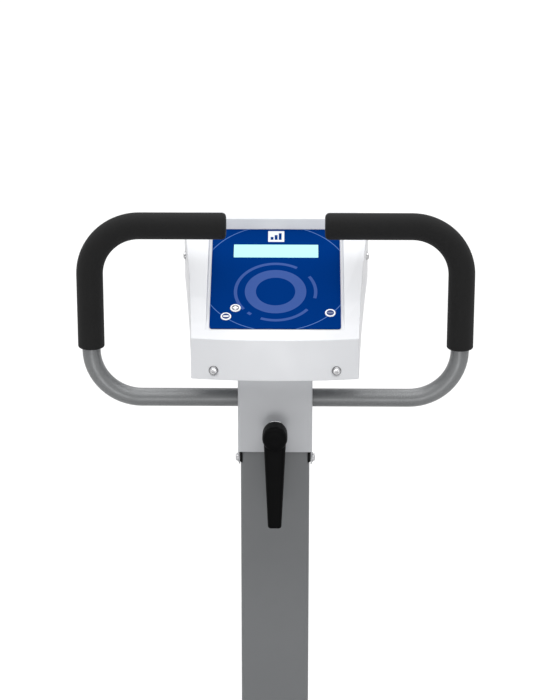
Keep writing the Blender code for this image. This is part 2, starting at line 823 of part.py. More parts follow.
def make_screw(name, parent, seat, outwards, finishes):
    """A screw whose head stands off its seat along the outward direction."""
    screw = turned(name, "Z", screw_profile(), parent, finishes["zinc"], sides=SCREW_SIDES)
    turn = Vector((0, 0, 1)).rotation_difference(Vector(outwards)).to_matrix().to_4x4()
    screw.matrix_local = Matrix.Translation(seat) @ turn
    socket = extruded(
        name + "_socket",
        "XY",
        circle(SCREW_SOCKET_RADIUS, 6),
        SCREW_HEAD_HEIGHT - SCREW_SOCKET_DEPTH,
        2 * SCREW_HEAD_HEIGHT,
        screw,
    )
    cut(screw, socket)
    return screw


def make_sleeve_screws(head, finishes):
    for label, side in (("left", -1), ("right", 1)):
        seat = (side * (SLEEVE_WIDTH / 2 + GAP), 0, -EAR_SCREW_DROP)
        make_screw(f"sleeve_screw_{label}", head, seat, (side, 0, 0), finishes)


# Handlebar loop and foam grips
def half_loop(side, start_height, end_x):
    """Centre line up one leg and inwards along the top, as (x, z) points."""
    points = [(LOOP_HALF_WIDTH, start_height)]
    centre = (LOOP_HALF_WIDTH - LOOP_BEND, LOOP_HEIGHT - LOOP_BEND)
    points += arc(centre, LOOP_BEND, 0, 90, BEND_STEPS)
    points += [(end_x, LOOP_HEIGHT)]
    return [(side * x, z) for x, z in points]


def bar_line():
    """Centre line of the whole loop, from its left top end round to its right top end."""
    end_x = LOOP_OPENING / 2 + GRIP_END_COVER + GAP
    low = (LOOP_HALF_WIDTH - LOOP_BEND, LOOP_BEND)
    right = arc(low, LOOP_BEND, -90, 0, BEND_STEPS)
    right += half_loop(1, LOOP_HEIGHT - LOOP_BEND, end_x)[1:]
    left = [(-x, z) for x, z in reversed(right)]
    return left + right


def ring_round(line, index, radius):
    """A ring of points round a centre line in the XZ plane, square to it."""
    before = Vector(line[max(index - 1, 0)])
    after = Vector(line[min(index + 1, len(line) - 1)])
    along = (after - before).normalized()
    across = Vector((-along.y, along.x))
    centre = Vector(line[index])
    ring = []
    for u, v in circle(radius, TUBE_SIDES):
        spot = centre + across * u
        ring.append(Vector((spot.x, v, spot.y)))
    return ring


def make_bar(pivot, finishes):
    """The bent tube, open at both ends."""
    line = bar_line()
    count = len(line)
    rings = [ring_round(line, i, BAR_RADIUS) for i in range(count)]
    rings += [ring_round(line, i, BAR_RADIUS - BAR_WALL) for i in reversed(range(count))]
    skin("handlebar_tube", rings, pivot, finishes["mid_grey_paint"], closed=True)


def make_grip(label, side, pivot, finishes):
    """A foam sleeve round one leg, bend and top end of the bar, closed over the bar's end."""
    end_x = LOOP_OPENING / 2
    bore_line = half_loop(side, GRIP_LEG_START, end_x + GRIP_END_COVER)
    outer_line = half_loop(side, GRIP_LEG_START, end_x)
    outer_line[-1:] = [(side * (end_x + GRIP_CHAMFER), LOOP_HEIGHT), outer_line[-1]]
    last = len(outer_line) - 1
    rings = [
        ring_round(bore_line, i, BAR_RADIUS + GAP) for i in reversed(range(len(bore_line)))
    ]
    rings += [ring_round(outer_line, i, GRIP_RADIUS) for i in range(last)]
    rings.append(ring_round(outer_line, last, GRIP_RADIUS - GRIP_CHAMFER))
    skin(f"grip_{label}", rings, pivot, finishes["foam"])


# Clamping lever
def make_lever_stud(pivot, finishes):
    """Stud, washer and splined nose in one steel piece. Local -Y points at the rider."""
    inner_end = SLEEVE_WIDTH / 2 + BLOCK_REAR - 2 * SLIT / 3
    washer_top = GAP + WASHER_THICKNESS
    boss_top = washer_top + BOSS_LENGTH
    profile = [
        (STUD_RADIUS * 0.8, inner_end),
        (STUD_RADIUS, inner_end - STUD_RADIUS * 0.3),
        (STUD_RADIUS, -GAP),
        (WASHER_RADIUS, -GAP),
        (WASHER_RADIUS, -washer_top),
        (BOSS_RADIUS, -washer_top),
        (BOSS_RADIUS, -boss_top),
        (NOSE_RADIUS, -boss_top),
        (NOSE_RADIUS, -boss_top - NOSE_LENGTH),
    ]
    turned("lever_stud", "Y", profile, pivot, finishes["zinc"], sides=SMALL_SIDES)


def lever_ring(share):
    """A rounded rectangle across the lever's arm, from its root at 0 to its tip at 1."""
    width = LEVER_ROOT_WIDTH + (LEVER_TIP_WIDTH - LEVER_ROOT_WIDTH) * share
    depth = LEVER_ROOT_DEPTH + (LEVER_TIP_DEPTH - LEVER_ROOT_DEPTH) * share
    outline = rounded_rectangle(width, depth, depth * 0.35)
    boss_top = GAP + WASHER_THICKNESS + BOSS_LENGTH
    centre_out = boss_top + HUB_LENGTH * 0.55 + LEVER_SLANT * share
    drop = LEVER_LENGTH * share
    return [Vector((x, y - centre_out, -drop)) for x, y in outline]


def make_lever(slide, finishes):
    """The black moulded handle: a hub over the stud's nose and a flat arm."""
    base = GAP + WASHER_THICKNESS + BOSS_LENGTH + GAP
    profile = [
        (HUB_BASE_RADIUS, -base),
        (HUB_RADIUS, -base - HUB_LENGTH * 0.45),
        (HUB_RADIUS, -base - HUB_LENGTH * 0.75),
        (HUB_RADIUS * 0.85, -base - HUB_LENGTH * 0.94),
        (HUB_RADIUS * 0.45, -base - HUB_LENGTH),
    ]
    lever = turned("clamp_lever", "Y", profile, slide, finishes["black_plastic"])
    shares = (0.0, 0.12, 0.4, 0.7, 0.985, 1.0)
    rings = [lever_ring(share) for share in shares]
    tip = Vector((0, rings[-1][0].y, -LEVER_LENGTH))
    middle = sum(rings[-1], Vector()) / len(rings[-1])
    tip.y = middle.y
    rings[-1] = [tip + (point - tip) * 0.86 for point in rings[-1]]
    arm = skin("lever_arm", rings, slide)
    bore = rod(
        "lever_bore", "Y", NOSE_RADIUS + GAP, -base - NOSE_LENGTH - GAP, 0, (0, 0), slide
    )
    join(lever, arm)
    cut(lever, bore)


# Console
def side_line(back):
    """Half the console's width at a distance behind the bar's axis."""
    run = min(back + CONSOLE_FRONT - CONSOLE_BOW, CONSOLE_FLARE_LENGTH)
    return CONSOLE_FRONT_WIDTH / 2 + run * (CONSOLE_FLARE + CONSOLE_FLARE_CURVE * run)


def bowed(half_width, x, depth):
    """How far a shallow bow has fallen back from its crown at x."""
    return depth * (x / half_width) ** 2


def console_plan(inset):
    """Outline from above: bowed front and rear, flared sides, rounded rear corners."""
    front = -CONSOLE_FRONT + inset
    rear = CONSOLE_REAR - inset
    front_half = CONSOLE_FRONT_WIDTH / 2 - inset
    rear_corner = CONSOLE_REAR_CORNER - inset
    rear_side = CONSOLE_REAR - CONSOLE_BOW - CONSOLE_REAR_CORNER
    rear_half = side_line(rear_side) - inset
    points = []
    steps = BOW_STEPS
    for step in range(steps + 1):
        x = front_half * (2 * step / steps - 1)
        points.append((x, front + bowed(front_half, x, CONSOLE_BOW)))
    for step in range(1, 4):
        back = (CONSOLE_BOW - CONSOLE_FRONT) + (rear_side + CONSOLE_FRONT - CONSOLE_BOW) * step / 4
        points.append((side_line(back) - inset, back))
    centre_x = rear_half - rear_corner
    corner = arc((centre_x, rear_side), rear_corner, 0, 72, 2 * CORNER_STEPS)
    points += corner
    for step in range(1, steps):
        x = corner[-1][0] * (1 - 2 * step / steps)
        points.append((x, rear - bowed(corner[-1][0], x, rear - corner[-1][1])))
    points += [(-x, y) for x, y in reversed(corner)]
    for step in (3, 2, 1):
        back = (CONSOLE_BOW - CONSOLE_FRONT) + (rear_side + CONSOLE_FRONT - CONSOLE_BOW) * step / 4
        points.append((inset - side_line(back), back))
    return points


def rim_profile(drop, front):
    """Side view of the console's top, from the lip's front edge to the rear, sunk by a drop."""
    ramp_foot = -PANEL_FRONT + RAMP_START
    ramp_top = ramp_foot + RAMP_LENGTH
    return [
        (-2 * CONSOLE_FRONT, PANEL_RISE - LIP_RISE - drop),
        (front, PANEL_RISE - LIP_RISE - drop),
        (-PANEL_FRONT, PANEL_RISE - drop),
        (ramp_foot, PANEL_RISE + RAMP_START * PANEL_SLOPE - drop),
        (ramp_top, PANEL_RISE + (RAMP_START + RAMP_LENGTH) * PANEL_SLOPE + RIM_HEIGHT - drop),
        (HOOD_WALL, HOOD_RISE - drop),
        (CONSOLE_REAR + VIEW_MARGIN, HOOD_RISE - drop),
    ]


def under_profile(lift):
    """Side view of the console's underside, from rear to front, lifted inwards."""
    slant_lift = lift / math.cos(PANEL_ANGLE)
    rear = CONSOLE_REAR + VIEW_MARGIN
    kink = lift * math.tan(PANEL_ANGLE / 2)
    return [
        (rear, under_line(rear) + slant_lift),
        (-PANEL_FRONT - kink, CONSOLE_RISE + lift),
        (-2 * CONSOLE_FRONT, CONSOLE_RISE + lift),
    ]


def slab(name, inset, drop, lift, head, material=None):
    """The console's outer form, or the same drawn in on every side."""
    height = 2 * HOOD_RISE
    body = extruded(name, "XY", console_plan(inset), -height, height, head, material)
    half = CONSOLE_FRONT_WIDTH / 2 - inset
    stations = [-2 * half]
    stations += [half * (2 * step / BOW_STEPS - 1) for step in range(BOW_STEPS + 1)]
    stations.append(2 * half)
    rings = []
    for x in stations:
        front = inset - CONSOLE_FRONT + bowed(half, min(abs(x), half), CONSOLE_BOW)
        profile = rim_profile(drop, front) + under_profile(lift)
        rings.append([place("YZ", point, x) for point in profile])
    side_view = skin(name + "_side_view", rings, head)
    keep_inside(body, side_view)
    return body


def recess_block(name, margin, depth, panel):
    """The space over the panel, in the panel's own frame."""
    half = PANEL_WIDTH / 2 + RECESS_MARGIN + margin
    wall = RECESS_LENGTH + margin
    top = 4 * RIM_HEIGHT
    outline = [
        (-GAP - margin, depth),
        (wall + depth * PANEL_SLOPE, depth),
        (wall + top * PANEL_SLOPE, top),
        (-GAP - margin, top),
    ]
    return extruded(name, "YZ", outline, -half, half, panel)


def panel_hole(name, place_on_panel, radius, panel):
    x, y = place_on_panel
    return rod(name, "Z", radius, -BOARD_DEPTH, 4 * RIM_HEIGHT, (x, y), panel)


def lcd_outline(inset):
    half = LCD_WIDTH / 2 - inset
    return rectangle(-half, half, LCD_FRONT + inset, LCD_FRONT + LCD_LENGTH - inset)


def front_screw_seat(side):
    x = FRONT_SCREW_SPREAD / 2
    back = bowed(CONSOLE_FRONT_WIDTH / 2, x, CONSOLE_BOW) - CONSOLE_FRONT + SEAT_DEPTH
    return Vector((side * x, back - GAP, CONSOLE_RISE + FRONT_SCREW_RISE))


def side_screw_seat(side):
    height = under_line(SIDE_SCREW_BACK) + SIDE_SCREW_RISE
    reach = side_line(SIDE_SCREW_BACK) - SEAT_DEPTH + GAP
    return Vector((side * reach, SIDE_SCREW_BACK, height))


def console_screw_places():
    """Name, seat and outward direction of the four console screws."""
    places = []
    for label, side in (("left", -1), ("right", 1)):
        places.append((f"console_front_screw_{label}", front_screw_seat(side), (0, -1, 0)))
        places.append((f"console_side_screw_{label}", side_screw_seat(side), (side, 0, 0)))
    return places


def screw_cutter(name, seat, outwards, radius, low, high, head):
    """A round cutter along a screw's axis, from low to high above its seat."""
    cutter = rod(name, "Z", radius, low, high, (0, 0), head)
    turn = Vector((0, 0, 1)).rotation_difference(Vector(outwards)).to_matrix().to_4x4()
    cutter.matrix_local = Matrix.Translation(seat) @ turn
    return cutter


def board_post_places():
    """Where four posts under the panel hold the circuit board."""
    x = BOARD_WIDTH / 2 - POST_INSET
    front = BOARD_FRONT + POST_INSET
    rear = BOARD_REAR - POST_INSET
    return [(-x, front), (x, front), (-x, rear), (x, rear)]


def make_upper_shell(head, panel, finishes):
    """The white moulded cover: hood, cheeks, lip and the floor under the foil."""
    shell = slab("console_upper_shell", 0, 0, 0, head, finishes["white_shell"])
    cavity = slab("shell_cavity", SHELL_WALL, SHELL_WALL, -SHELL_WALL, head)
    cut(cavity, recess_block("recess_wall", SHELL_WALL, FLOOR_UNDERSIDE, panel))
    recess = recess_block("recess", 0, FLOOR_LEVEL, panel)
    cut(shell, cavity, recess)
    for number, (x, y) in enumerate(board_post_places()):
        low = -BOARD_DEPTH + GAP
        high = (FLOOR_LEVEL + FLOOR_UNDERSIDE) / 2
        post = rod(f"board_post_{number}", "Z", POST_RADIUS, low, high, (x, y), panel)
        join(shell, post)
    window = extruded("shell_window", "XY", lcd_outline(LCD_LEDGE), -BOARD_DEPTH, GAP, panel)
    cut(shell, window)
    for name, place_on_panel in KEY_PLACES.items():
        cut(shell, panel_hole(f"{name}_shell_hole", place_on_panel, KEY_RADIUS + GAP, panel))
    for name, seat, outwards in console_screw_places():
        radius = SCREW_FLANGE_RADIUS + SCREW_POCKET_GAP
        reach = SCREW_CUT_REACH
        pocket = screw_cutter(name + "_pocket", seat, outwards, radius, -GAP, reach, head)
        radius = SCREW_RADIUS + GAP
        hole = screw_cutter(name + "_hole", seat, outwards, radius, -reach / 2, reach, head)
        cut(shell, pocket, hole)


def make_lower_shell(head, finishes):
    """The tray that closes the console from below, with a boss behind each screw."""
    inset = SHELL_WALL + GAP
    tray = extruded(
        "console_lower_shell",
        "XY",
        console_plan(inset),
        -HOOD_RISE,
        2 * HOOD_RISE,
        head,
        finishes["white_shell"],
    )
    low = under_profile(0)
    high = under_profile(TRAY_WALL)
    reach = 2 * side_line(CONSOLE_REAR)
    band = extruded("tray_side_view", "YZ", low + high[::-1], -reach, reach, head)
    keep_inside(tray, band)
    for name, seat, outwards in console_screw_places():
        direction = Vector(outwards)
        inner = seat - direction * (SHELL_WALL + SCREW_BOSS)
        outer = seat - direction * (SHELL_WALL + GAP)
        middle = (inner + outer) / 2
        across = SCREW_BOSS / 2
        length = (outer - inner).length / 2
        half_x = length if outwards[0] else across
        half_y = across if outwards[0] else length
        foot = under_line(middle.y - half_y)
        boss = box(
            name + "_boss",
            (middle.x - half_x, middle.x + half_x),
            (middle.y - half_y, middle.y + half_y),
            (foot + TRAY_WALL / 2, seat.z + across),
            head,
        )
        radius = SCREW_RADIUS + GAP
        reach = SCREW_CUT_REACH
        hole = screw_cutter(name + "_boss_hole", seat, outwards, radius, -reach, reach, head)
        join(tray, boss)
        cut(tray, hole)


def make_bracket(head, finishes):
    half = BRACKET_WIDTH / 2
    paint = finishes["light_grey_paint"]
    extruded("console_bracket", "YZ", bracket_outline(), -half, half, head, paint)


def make_foil(panel, finishes):
    """The blue keypad foil, with a window and a hole for each key."""
    outline = rounded_rectangle(PANEL_WIDTH, PANEL_LENGTH - PANEL_MARGIN, PANEL_CORNER)
    outline = [(x, y + (PANEL_LENGTH + PANEL_MARGIN) / 2) for x, y in outline]
    paint = finishes["panel_blue"]
    foil = extruded("keypad_foil", "XY", outline, -FOIL_THICKNESS, 0, panel, paint)
    cut(foil, extruded("foil_window", "XY", lcd_outline(-GAP), -BOARD_DEPTH, GAP, panel))
    for name, place_on_panel in KEY_PLACES.items():
        cut(foil, panel_hole(f"{name}_foil_hole", place_on_panel, KEY_RADIUS + GAP, panel))


def make_keys(panel, finishes):
    """Each key is a round cap whose stem reaches down to the board."""
    for name, (x, y) in KEY_PLACES.items():
        stem_end = -BOARD_DEPTH + KEY_TRAVEL + GAP
        profile = [
            (KEY_STEM_RADIUS, stem_end),
            (KEY_STEM_RADIUS, FLOOR_UNDERSIDE + KEY_TRAVEL),
            (KEY_RADIUS, FLOOR_UNDERSIDE + KEY_TRAVEL),
            (KEY_RADIUS, KEY_PROUD / 2),
            (KEY_RADIUS - KEY_PROUD, KEY_PROUD),
        ]
        key = turned(name, "Z", profile, panel, finishes["key_white"], sides=SMALL_SIDES)
        key.location = (x, y, 0)


def make_display(panel, finishes):
    """Lens in the foil's window, display module under it and the board that carries it."""
    lens = lcd_outline(0)
    extruded("display_lens", "XY", lens, -FOIL_THICKNESS, 0, panel, finishes["lcd_lens"])
    half = MODULE_WIDTH / 2
    middle = LCD_FRONT + LCD_LENGTH / 2
    box(
        "display_module",
        (-half, half),
        (middle - MODULE_LENGTH / 2, middle + MODULE_LENGTH / 2),
        (-BOARD_DEPTH + GAP, FLOOR_UNDERSIDE - GAP),
        panel,
        finishes["black_plastic"],
    )
    box(
        "control_board",
        (-BOARD_WIDTH / 2, BOARD_WIDTH / 2),
        (BOARD_FRONT, BOARD_REAR),
        (-BOARD_DEPTH - BOARD_THICKNESS, -BOARD_DEPTH),
        panel,
        finishes["board_green"],
    )


def make_head(finishes):
    """Everything above the column."""
    head = empty("head_frame", None, (0, COLUMN_Y, BAR_HEIGHT))
    make_sleeve(head, finishes)
    make_liner(head, finishes)
    make_clamp_block(head, finishes)
    make_sleeve_screws(head, finishes)
    make_bracket(head, finishes)
    panel = empty("panel_frame", head, (0, -PANEL_FRONT, PANEL_RISE), PANEL_ANGLE)
    make_upper_shell(head, panel, finishes)
    make_lower_shell(head, finishes)
    make_foil(panel, finishes)
    make_keys(panel, finishes)
    make_display(panel, finishes)
    for name, seat, outwards in console_screw_places():
        make_screw(name, head, seat, outwards, finishes)
    bar_pivot = empty("handlebar_pivot", head, (0, 0, 0))
    make_bar(bar_pivot, finishes)
    for label, side in (("left", -1), ("right", 1)):
        make_grip(label, side, bar_pivot, finishes)
    lever_pivot = empty("lever_pivot", head, (0, -SLEEVE_WIDTH / 2, -STUD_DROP))
    make_lever_stud(lever_pivot, finishes)
    make_lever(lever_pivot, finishes)


# Seat tube, post and saddle
def make_seat_tube(frame, finishes):
    """The leaning tube on the beam, trimmed level at its foot, with a boss for the knob."""
    tube = square_ring(
        "seat_tube",
        SEAT_TUBE_WIDTH,
        SEAT_TUBE_WALL,
        SEAT_TUBE_CORNER,
        -SEAT_TUBE_WIDTH / 2,
        SEAT_TUBE_LENGTH,
        frame,
        finishes["dark_grey_paint"],
    )
    front = SEAT_TUBE_WIDTH / 2
    height = SEAT_TUBE_LENGTH - KNOB_DROP
    boss = rod(
        "knob_boss",
        "Y",
        KNOB_BOSS_RADIUS,
        front - SEAT_TUBE_WALL / 2,
        front + KNOB_BOSS_LENGTH,
        (0, height),
        frame,
    )
    radius = KNOB_STUD_RADIUS + GAP
    hole = rod("knob_hole", "Y", radius, 0, 2 * front, (0, height), frame)
    reach = 4 * SEAT_TUBE_WIDTH
    floor = box("seat_tube_trim", (-reach, reach), (-reach, reach), (-reach, 0))
    floor.location = (0, COLUMN_Y - SEAT_TUBE_BACK, BEAM_TOP + GAP)
    join(tube, boss)
    cut(tube, hole, floor)


def make_bush(frame, finishes):
    """The plastic bush in the tube's mouth, with a collar on top."""
    inner_radius = POST_CORNER + GAP
    outer = rounded_rectangle(BUSH_OUTER, BUSH_OUTER, SEAT_TUBE_CORNER - GAP)
    collar = rounded_rectangle(SEAT_TUBE_WIDTH, SEAT_TUBE_WIDTH, SEAT_TUBE_CORNER)
    collar_top = rounded_rectangle(
        SEAT_TUBE_WIDTH - CAP_EDGE, SEAT_TUBE_WIDTH - CAP_EDGE, SEAT_TUBE_CORNER
    )
    inner = rounded_rectangle(BUSH_INNER, BUSH_INNER, inner_radius)
    low = SEAT_TUBE_LENGTH - BUSH_DEPTH
    seat = SEAT_TUBE_LENGTH + GAP
    top = seat + BUSH_COLLAR
    layers = [(inner, low), (outer, low), (outer, seat), (collar, seat)]
    layers += [(collar, top - CAP_EDGE), (collar_top, top), (inner, top)]
    rings = [[place("XY", point, height) for point in outline] for outline, height in layers]
    bush = skin("seat_tube_bush", rings, frame, finishes["black_plastic"], closed=True)
    height = SEAT_TUBE_LENGTH - KNOB_DROP
    radius = KNOB_STUD_RADIUS + GAP
    cut(bush, rod("bush_knob_hole", "Y", radius, 0, SEAT_TUBE_WIDTH, (0, height), frame))


def star_outline(radius):
    """The knob's outline, with soft lobes."""
    points = []
    steps = KNOB_LOBES * 6
    for step in range(steps):
        angle = 2 * math.pi * step / steps
        reach = radius - KNOB_LOBE_DEPTH * (1 - math.cos(KNOB_LOBES * angle)) / 2
        points.append((reach * math.cos(angle), reach * math.sin(angle)))
    return points


def make_knob(frame, finishes):
    """A star knob whose stud passes the boss, tube and bush and bears on the post."""
    front = SEAT_TUBE_WIDTH / 2
    tip = POST_WIDTH / 2 + GAP
    neck = front + KNOB_BOSS_LENGTH + GAP
    head_low = neck + KNOB_NECK * 0.4
    head_high = head_low + KNOB_THICKNESS
    height = SEAT_TUBE_LENGTH - KNOB_DROP
    pivot = empty("knob_pivot", frame, (0, 0, height))
    outlines = [star_outline(KNOB_RADIUS - CAP_EDGE), star_outline(KNOB_RADIUS)]
    outlines += [star_outline(KNOB_RADIUS), star_outline(KNOB_RADIUS - CAP_EDGE)]
    heights = (head_low, head_low + CAP_EDGE, head_high - CAP_EDGE, head_high)
    knob = chamfered("seat_knob", "XZ", outlines, heights, pivot, finishes["black_plastic"])
    collar = rod("knob_neck", "Y", KNOB_BOSS_RADIUS * 0.8, neck, head_low + CAP_EDGE, (0, 0), pivot)
    stud = rod("knob_stud", "Y", KNOB_STUD_RADIUS, tip, head_low + CAP_EDGE * 2, (0, 0), pivot)
    join(knob, collar, stud)


def make_post(slide, finishes):
    square_ring(
        "seat_post",
        POST_WIDTH,
        POST_WALL,
        POST_CORNER,
        POST_TOP - POST_LENGTH,
        POST_TOP,
        slide,
        finishes["chrome"],
    )


def make_saddle_bracket(slide, level, finishes):
    """A level plate under the saddle with a leaning socket round the post's top."""
    half_x = SADDLE_PLATE_WIDTH / 2
    half_y = SADDLE_PLATE_LENGTH / 2
    plate = box(
        "saddle_bracket",
        (-half_x, half_x),
        (-half_y, half_y),
        (0, SADDLE_PLATE_THICKNESS),
        level,
        finishes["dark_grey_paint"],
    )
    inner = POST_WIDTH + 2 * GAP
    outer = inner + 2 * SADDLE_SOCKET_WALL
    outline = rounded_rectangle(outer, outer, POST_CORNER + SADDLE_SOCKET_WALL)
    low = POST_TOP - SADDLE_SOCKET_LENGTH
    high = POST_TOP + POST_WIDTH
    socket = extruded("saddle_socket", "XY", outline, low, high, slide)
    reach = 2 * SADDLE_PLATE_LENGTH
    lid = box(
        "saddle_socket_trim",
        (-reach, reach),
        (-reach, reach),
        (SADDLE_PLATE_THICKNESS / 2, reach),
        level,
    )
    cut(socket, lid)
    bore_outline = rounded_rectangle(inner, inner, POST_CORNER + GAP)
    bore = extruded("saddle_socket_bore", "XY", bore_outline, 0, POST_TOP + GAP, slide)
    join(plate, socket)
    cut(plate, bore)


def saddle_half_width(share):
    """Half the saddle's width, from its nose at 0 to its rear at 1."""
    swell = 0.5 - 0.5 * math.cos(math.pi * min(max((share - 0.18) / 0.62, 0), 1))
    return SADDLE_NOSE_HALF_WIDTH + (SADDLE_HALF_WIDTH - SADDLE_NOSE_HALF_WIDTH) * swell


def end_rounding(share, nose, rear):
    """A factor that closes the saddle's plan with a round nose and a round rear."""
    factor = 1.0
    if share < nose:
        factor = math.sqrt(1 - ((nose - share) / nose) ** 2)
    if share > 1 - rear:
        factor = math.sqrt(1 - ((share - 1 + rear) / rear) ** 2)
    return factor


def saddle_ring(share, inset, low, high, squareness, steps):
    """A ring across the saddle, rounded above and fuller below."""
    half = (saddle_half_width(share) - inset) * max(end_rounding(share, 0.14, 0.22), 0.12)
    y = SADDLE_FORWARD - SADDLE_LENGTH * share
    middle = low + (high - low) * SADDLE_BELT
    ring = []
    for step in range(steps):
        angle = 2 * math.pi * step / steps
        across = math.cos(angle)
        up = math.sin(angle)
        if up >= 0:
            reach = abs(across) ** squareness
            z = middle + (high - middle) * up**0.75
        else:
            reach = abs(across) ** 0.15 * (1 + SADDLE_TUCK * up)
            z = middle + (middle - low) * up
        ring.append(Vector((math.copysign(half * reach, across), y, z)))
    return ring


def saddle_stations():
    """Shares of the saddle's length at which its rings stand, closer at the ends."""
    shares = [0.0, 0.02, 0.06, 0.12]
    shares += [0.12 + 0.66 * step / 7 for step in range(1, 8)]
    shares += [0.86, 0.93, 0.975, 1.0]
    return shares


def saddle_form(name, inset, low, high, squareness, sides, level, material):
    """A saddle-shaped solid, its top a little lower at the nose and the rear."""
    rings = []
    for share in saddle_stations():
        dip = SADDLE_NOSE_DIP * (1 - math.sin(math.pi * min(share / 0.8 + 0.1, 1) / 2))
        ends = SADDLE_END_DIP * (1 - max(end_rounding(share, 0.14, 0.22), 0.25))
        top = high - (dip + ends) * (high - low)
        rings.append(saddle_ring(share, inset, low, top, squareness, sides))
    return skin(name, rings, level, material)


def trim_level(target, low, high):
    """Cuts away what lies between two heights."""
    reach = SADDLE_LENGTH
    name = f"{target.name}_trim_{len(target.modifiers)}"
    cut(target, box(name, (-reach, reach), (-reach, reach), (low, high), target.parent))


def make_saddle(level, finishes):
    """The moulded base and the cushion that sits on it."""
    low = SADDLE_PLATE_THICKNESS + GAP
    high = low + SADDLE_BASE_THICKNESS
    over = high + SADDLE_TRIM
    black = finishes["black_plastic"]
    base = saddle_form(
        "saddle_base", CUSHION_OVERHANG, low - SADDLE_TRIM, over, 0.25, 20, level, black
    )
    trim_level(base, -SADDLE_LENGTH, low)
    trim_level(base, high, SADDLE_LENGTH)
    low = high + GAP
    high = low + CUSHION_THICKNESS
    vinyl = finishes["seat_vinyl"]
    cushion = saddle_form("saddle_cushion", 0, low - SADDLE_TRIM, high, 0.6, 28, level, vinyl)
    trim_level(cushion, -SADDLE_LENGTH, low)


def make_seat(finishes):
    foot = (0, COLUMN_Y - SEAT_TUBE_BACK, BEAM_TOP)
    frame = empty("seat_tube_frame", None, foot, SEAT_TUBE_ANGLE)
    make_seat_tube(frame, finishes)
    make_bush(frame, finishes)
    make_knob(frame, finishes)
    slide = empty("seat_slide", frame, (0, 0, 0))
    make_post(slide, finishes)
    half_width = POST_WIDTH / 2 * math.tan(SEAT_TUBE_ANGLE)
    level = empty("saddle_frame", slide, (0, 0, POST_TOP + half_width + GAP), -SEAT_TUBE_ANGLE)
    make_saddle_bracket(slide, level, finishes)
    make_saddle(level, finishes)


# Drive: crank, pulleys, belt, flywheel and brake
def crank_place():
    return (0, COLUMN_Y - CRANK_BACK, CRANK_HEIGHT)


def flywheel_place():
    return (0, COLUMN_Y - FLYWHEEL_BACK, FLYWHEEL_HEIGHT)


def drive_bracket_outline():
    """A taut plate round both bearings, the brake's lug and a foot on the beam."""
    crank_y = crank_place()[1]
    wheel_y = flywheel_place()[1]
    lug_height = FLYWHEEL_HEIGHT + FLYWHEEL_RADIUS
    foot = BEAM_TOP + GAP
    corner = BRACKET_FOOT_THICKNESS
    circles = [
        (crank_y, CRANK_HEIGHT, BEARING_TUBE_RADIUS * 1.3),
        (wheel_y, FLYWHEEL_HEIGHT, BEARING_RADIUS * 1.6),
        (wheel_y, lug_height, MAGNET_LENGTH * 0.35),
        (crank_y, foot + corner, corner),
        (wheel_y, foot + corner, corner),
    ]
    return rounded_hull(circles)


def make_drive_bracket(finishes):
    """The welded carrier: plate, foot flange and crank bearing tube."""
    plate = extruded(
        "drive_bracket",
        "YZ",
        drive_bracket_outline(),
        PLATE_LEFT,
        PLATE_RIGHT,
        None,
        finishes["dark_grey_paint"],
    )
    crank_y = crank_place()[1]
    wheel_y = flywheel_place()[1]
    middle = (PLATE_LEFT + PLATE_RIGHT) / 2
    foot = box(
        "bracket_foot",
        (middle - BRACKET_FOOT_WIDTH / 2, middle + BRACKET_FOOT_WIDTH / 2),
        (crank_y + GAP, wheel_y - GAP),
        (BEAM_TOP + GAP, BEAM_TOP + GAP + BRACKET_FOOT_THICKNESS),
    )
    tube = rod(
        "bearing_tube",
        "X",
        BEARING_TUBE_RADIUS,
        BEARING_TUBE_LEFT,
        BEARING_TUBE_RIGHT,
        (crank_y, CRANK_HEIGHT),
        sides=ROUND_SIDES,
    )
    bore = rod(
        "bearing_tube_bore",
        "X",
        BEARING_RADIUS + GAP,
        2 * BEARING_TUBE_LEFT,
        -2 * BEARING_TUBE_LEFT,
        (crank_y, CRANK_HEIGHT),
        sides=ROUND_SIDES,
    )
    wheel_bore = rod(
        "flywheel_bearing_hole",
        "X",
        BEARING_RADIUS + GAP,
        2 * PLATE_LEFT,
        -PLATE_LEFT,
        (wheel_y, FLYWHEEL_HEIGHT),
        sides=ROUND_SIDES,
    )
    join(plate, foot, tube)
    cut(plate, bore, wheel_bore)


def make_bearing(name, place_of_axis, low, high, finishes):
    """A bearing drawn as one bored ring with a shallow step for its shield."""
    inner = CRANK_AXLE_RADIUS + GAP
    profile = [(inner, low), (BEARING_RADIUS, low), (BEARING_RADIUS, high), (inner, high)]
    bearing = turned(name, "X", profile, None, finishes["zinc"], bored=True)
    bearing.location = place_of_axis


def make_crank(finishes):
    """Axle, pulley, arms and pedals, all turning about the crank's axis."""
    pivot = empty("crank_pivot", None, crank_place(), CRANK_REST)
    reach = ARM_INNER + ARM_THICKNESS
    chamfer = CRANK_AXLE_RADIUS * 0.1
    profile = [
        (CRANK_AXLE_RADIUS - chamfer, -reach),
        (CRANK_AXLE_RADIUS, -reach + chamfer),
        (CRANK_AXLE_RADIUS, reach - chamfer),
        (CRANK_AXLE_RADIUS - chamfer, reach),
    ]
    turned("crank_axle", "X", profile, pivot, finishes["zinc"], sides=24)
    make_drive_pulley(pivot, finishes)
    for label, side, forward in (("left", -1, -1), ("right", 1, 1)):
        make_crank_arm(label, side, forward, pivot, finishes)
        end = (0, forward * CRANK_LENGTH, 0)
        pedal_pivot = empty(f"pedal_pivot_{label}", pivot, end, -CRANK_REST)
        make_pedal(label, side, pedal_pivot, finishes)


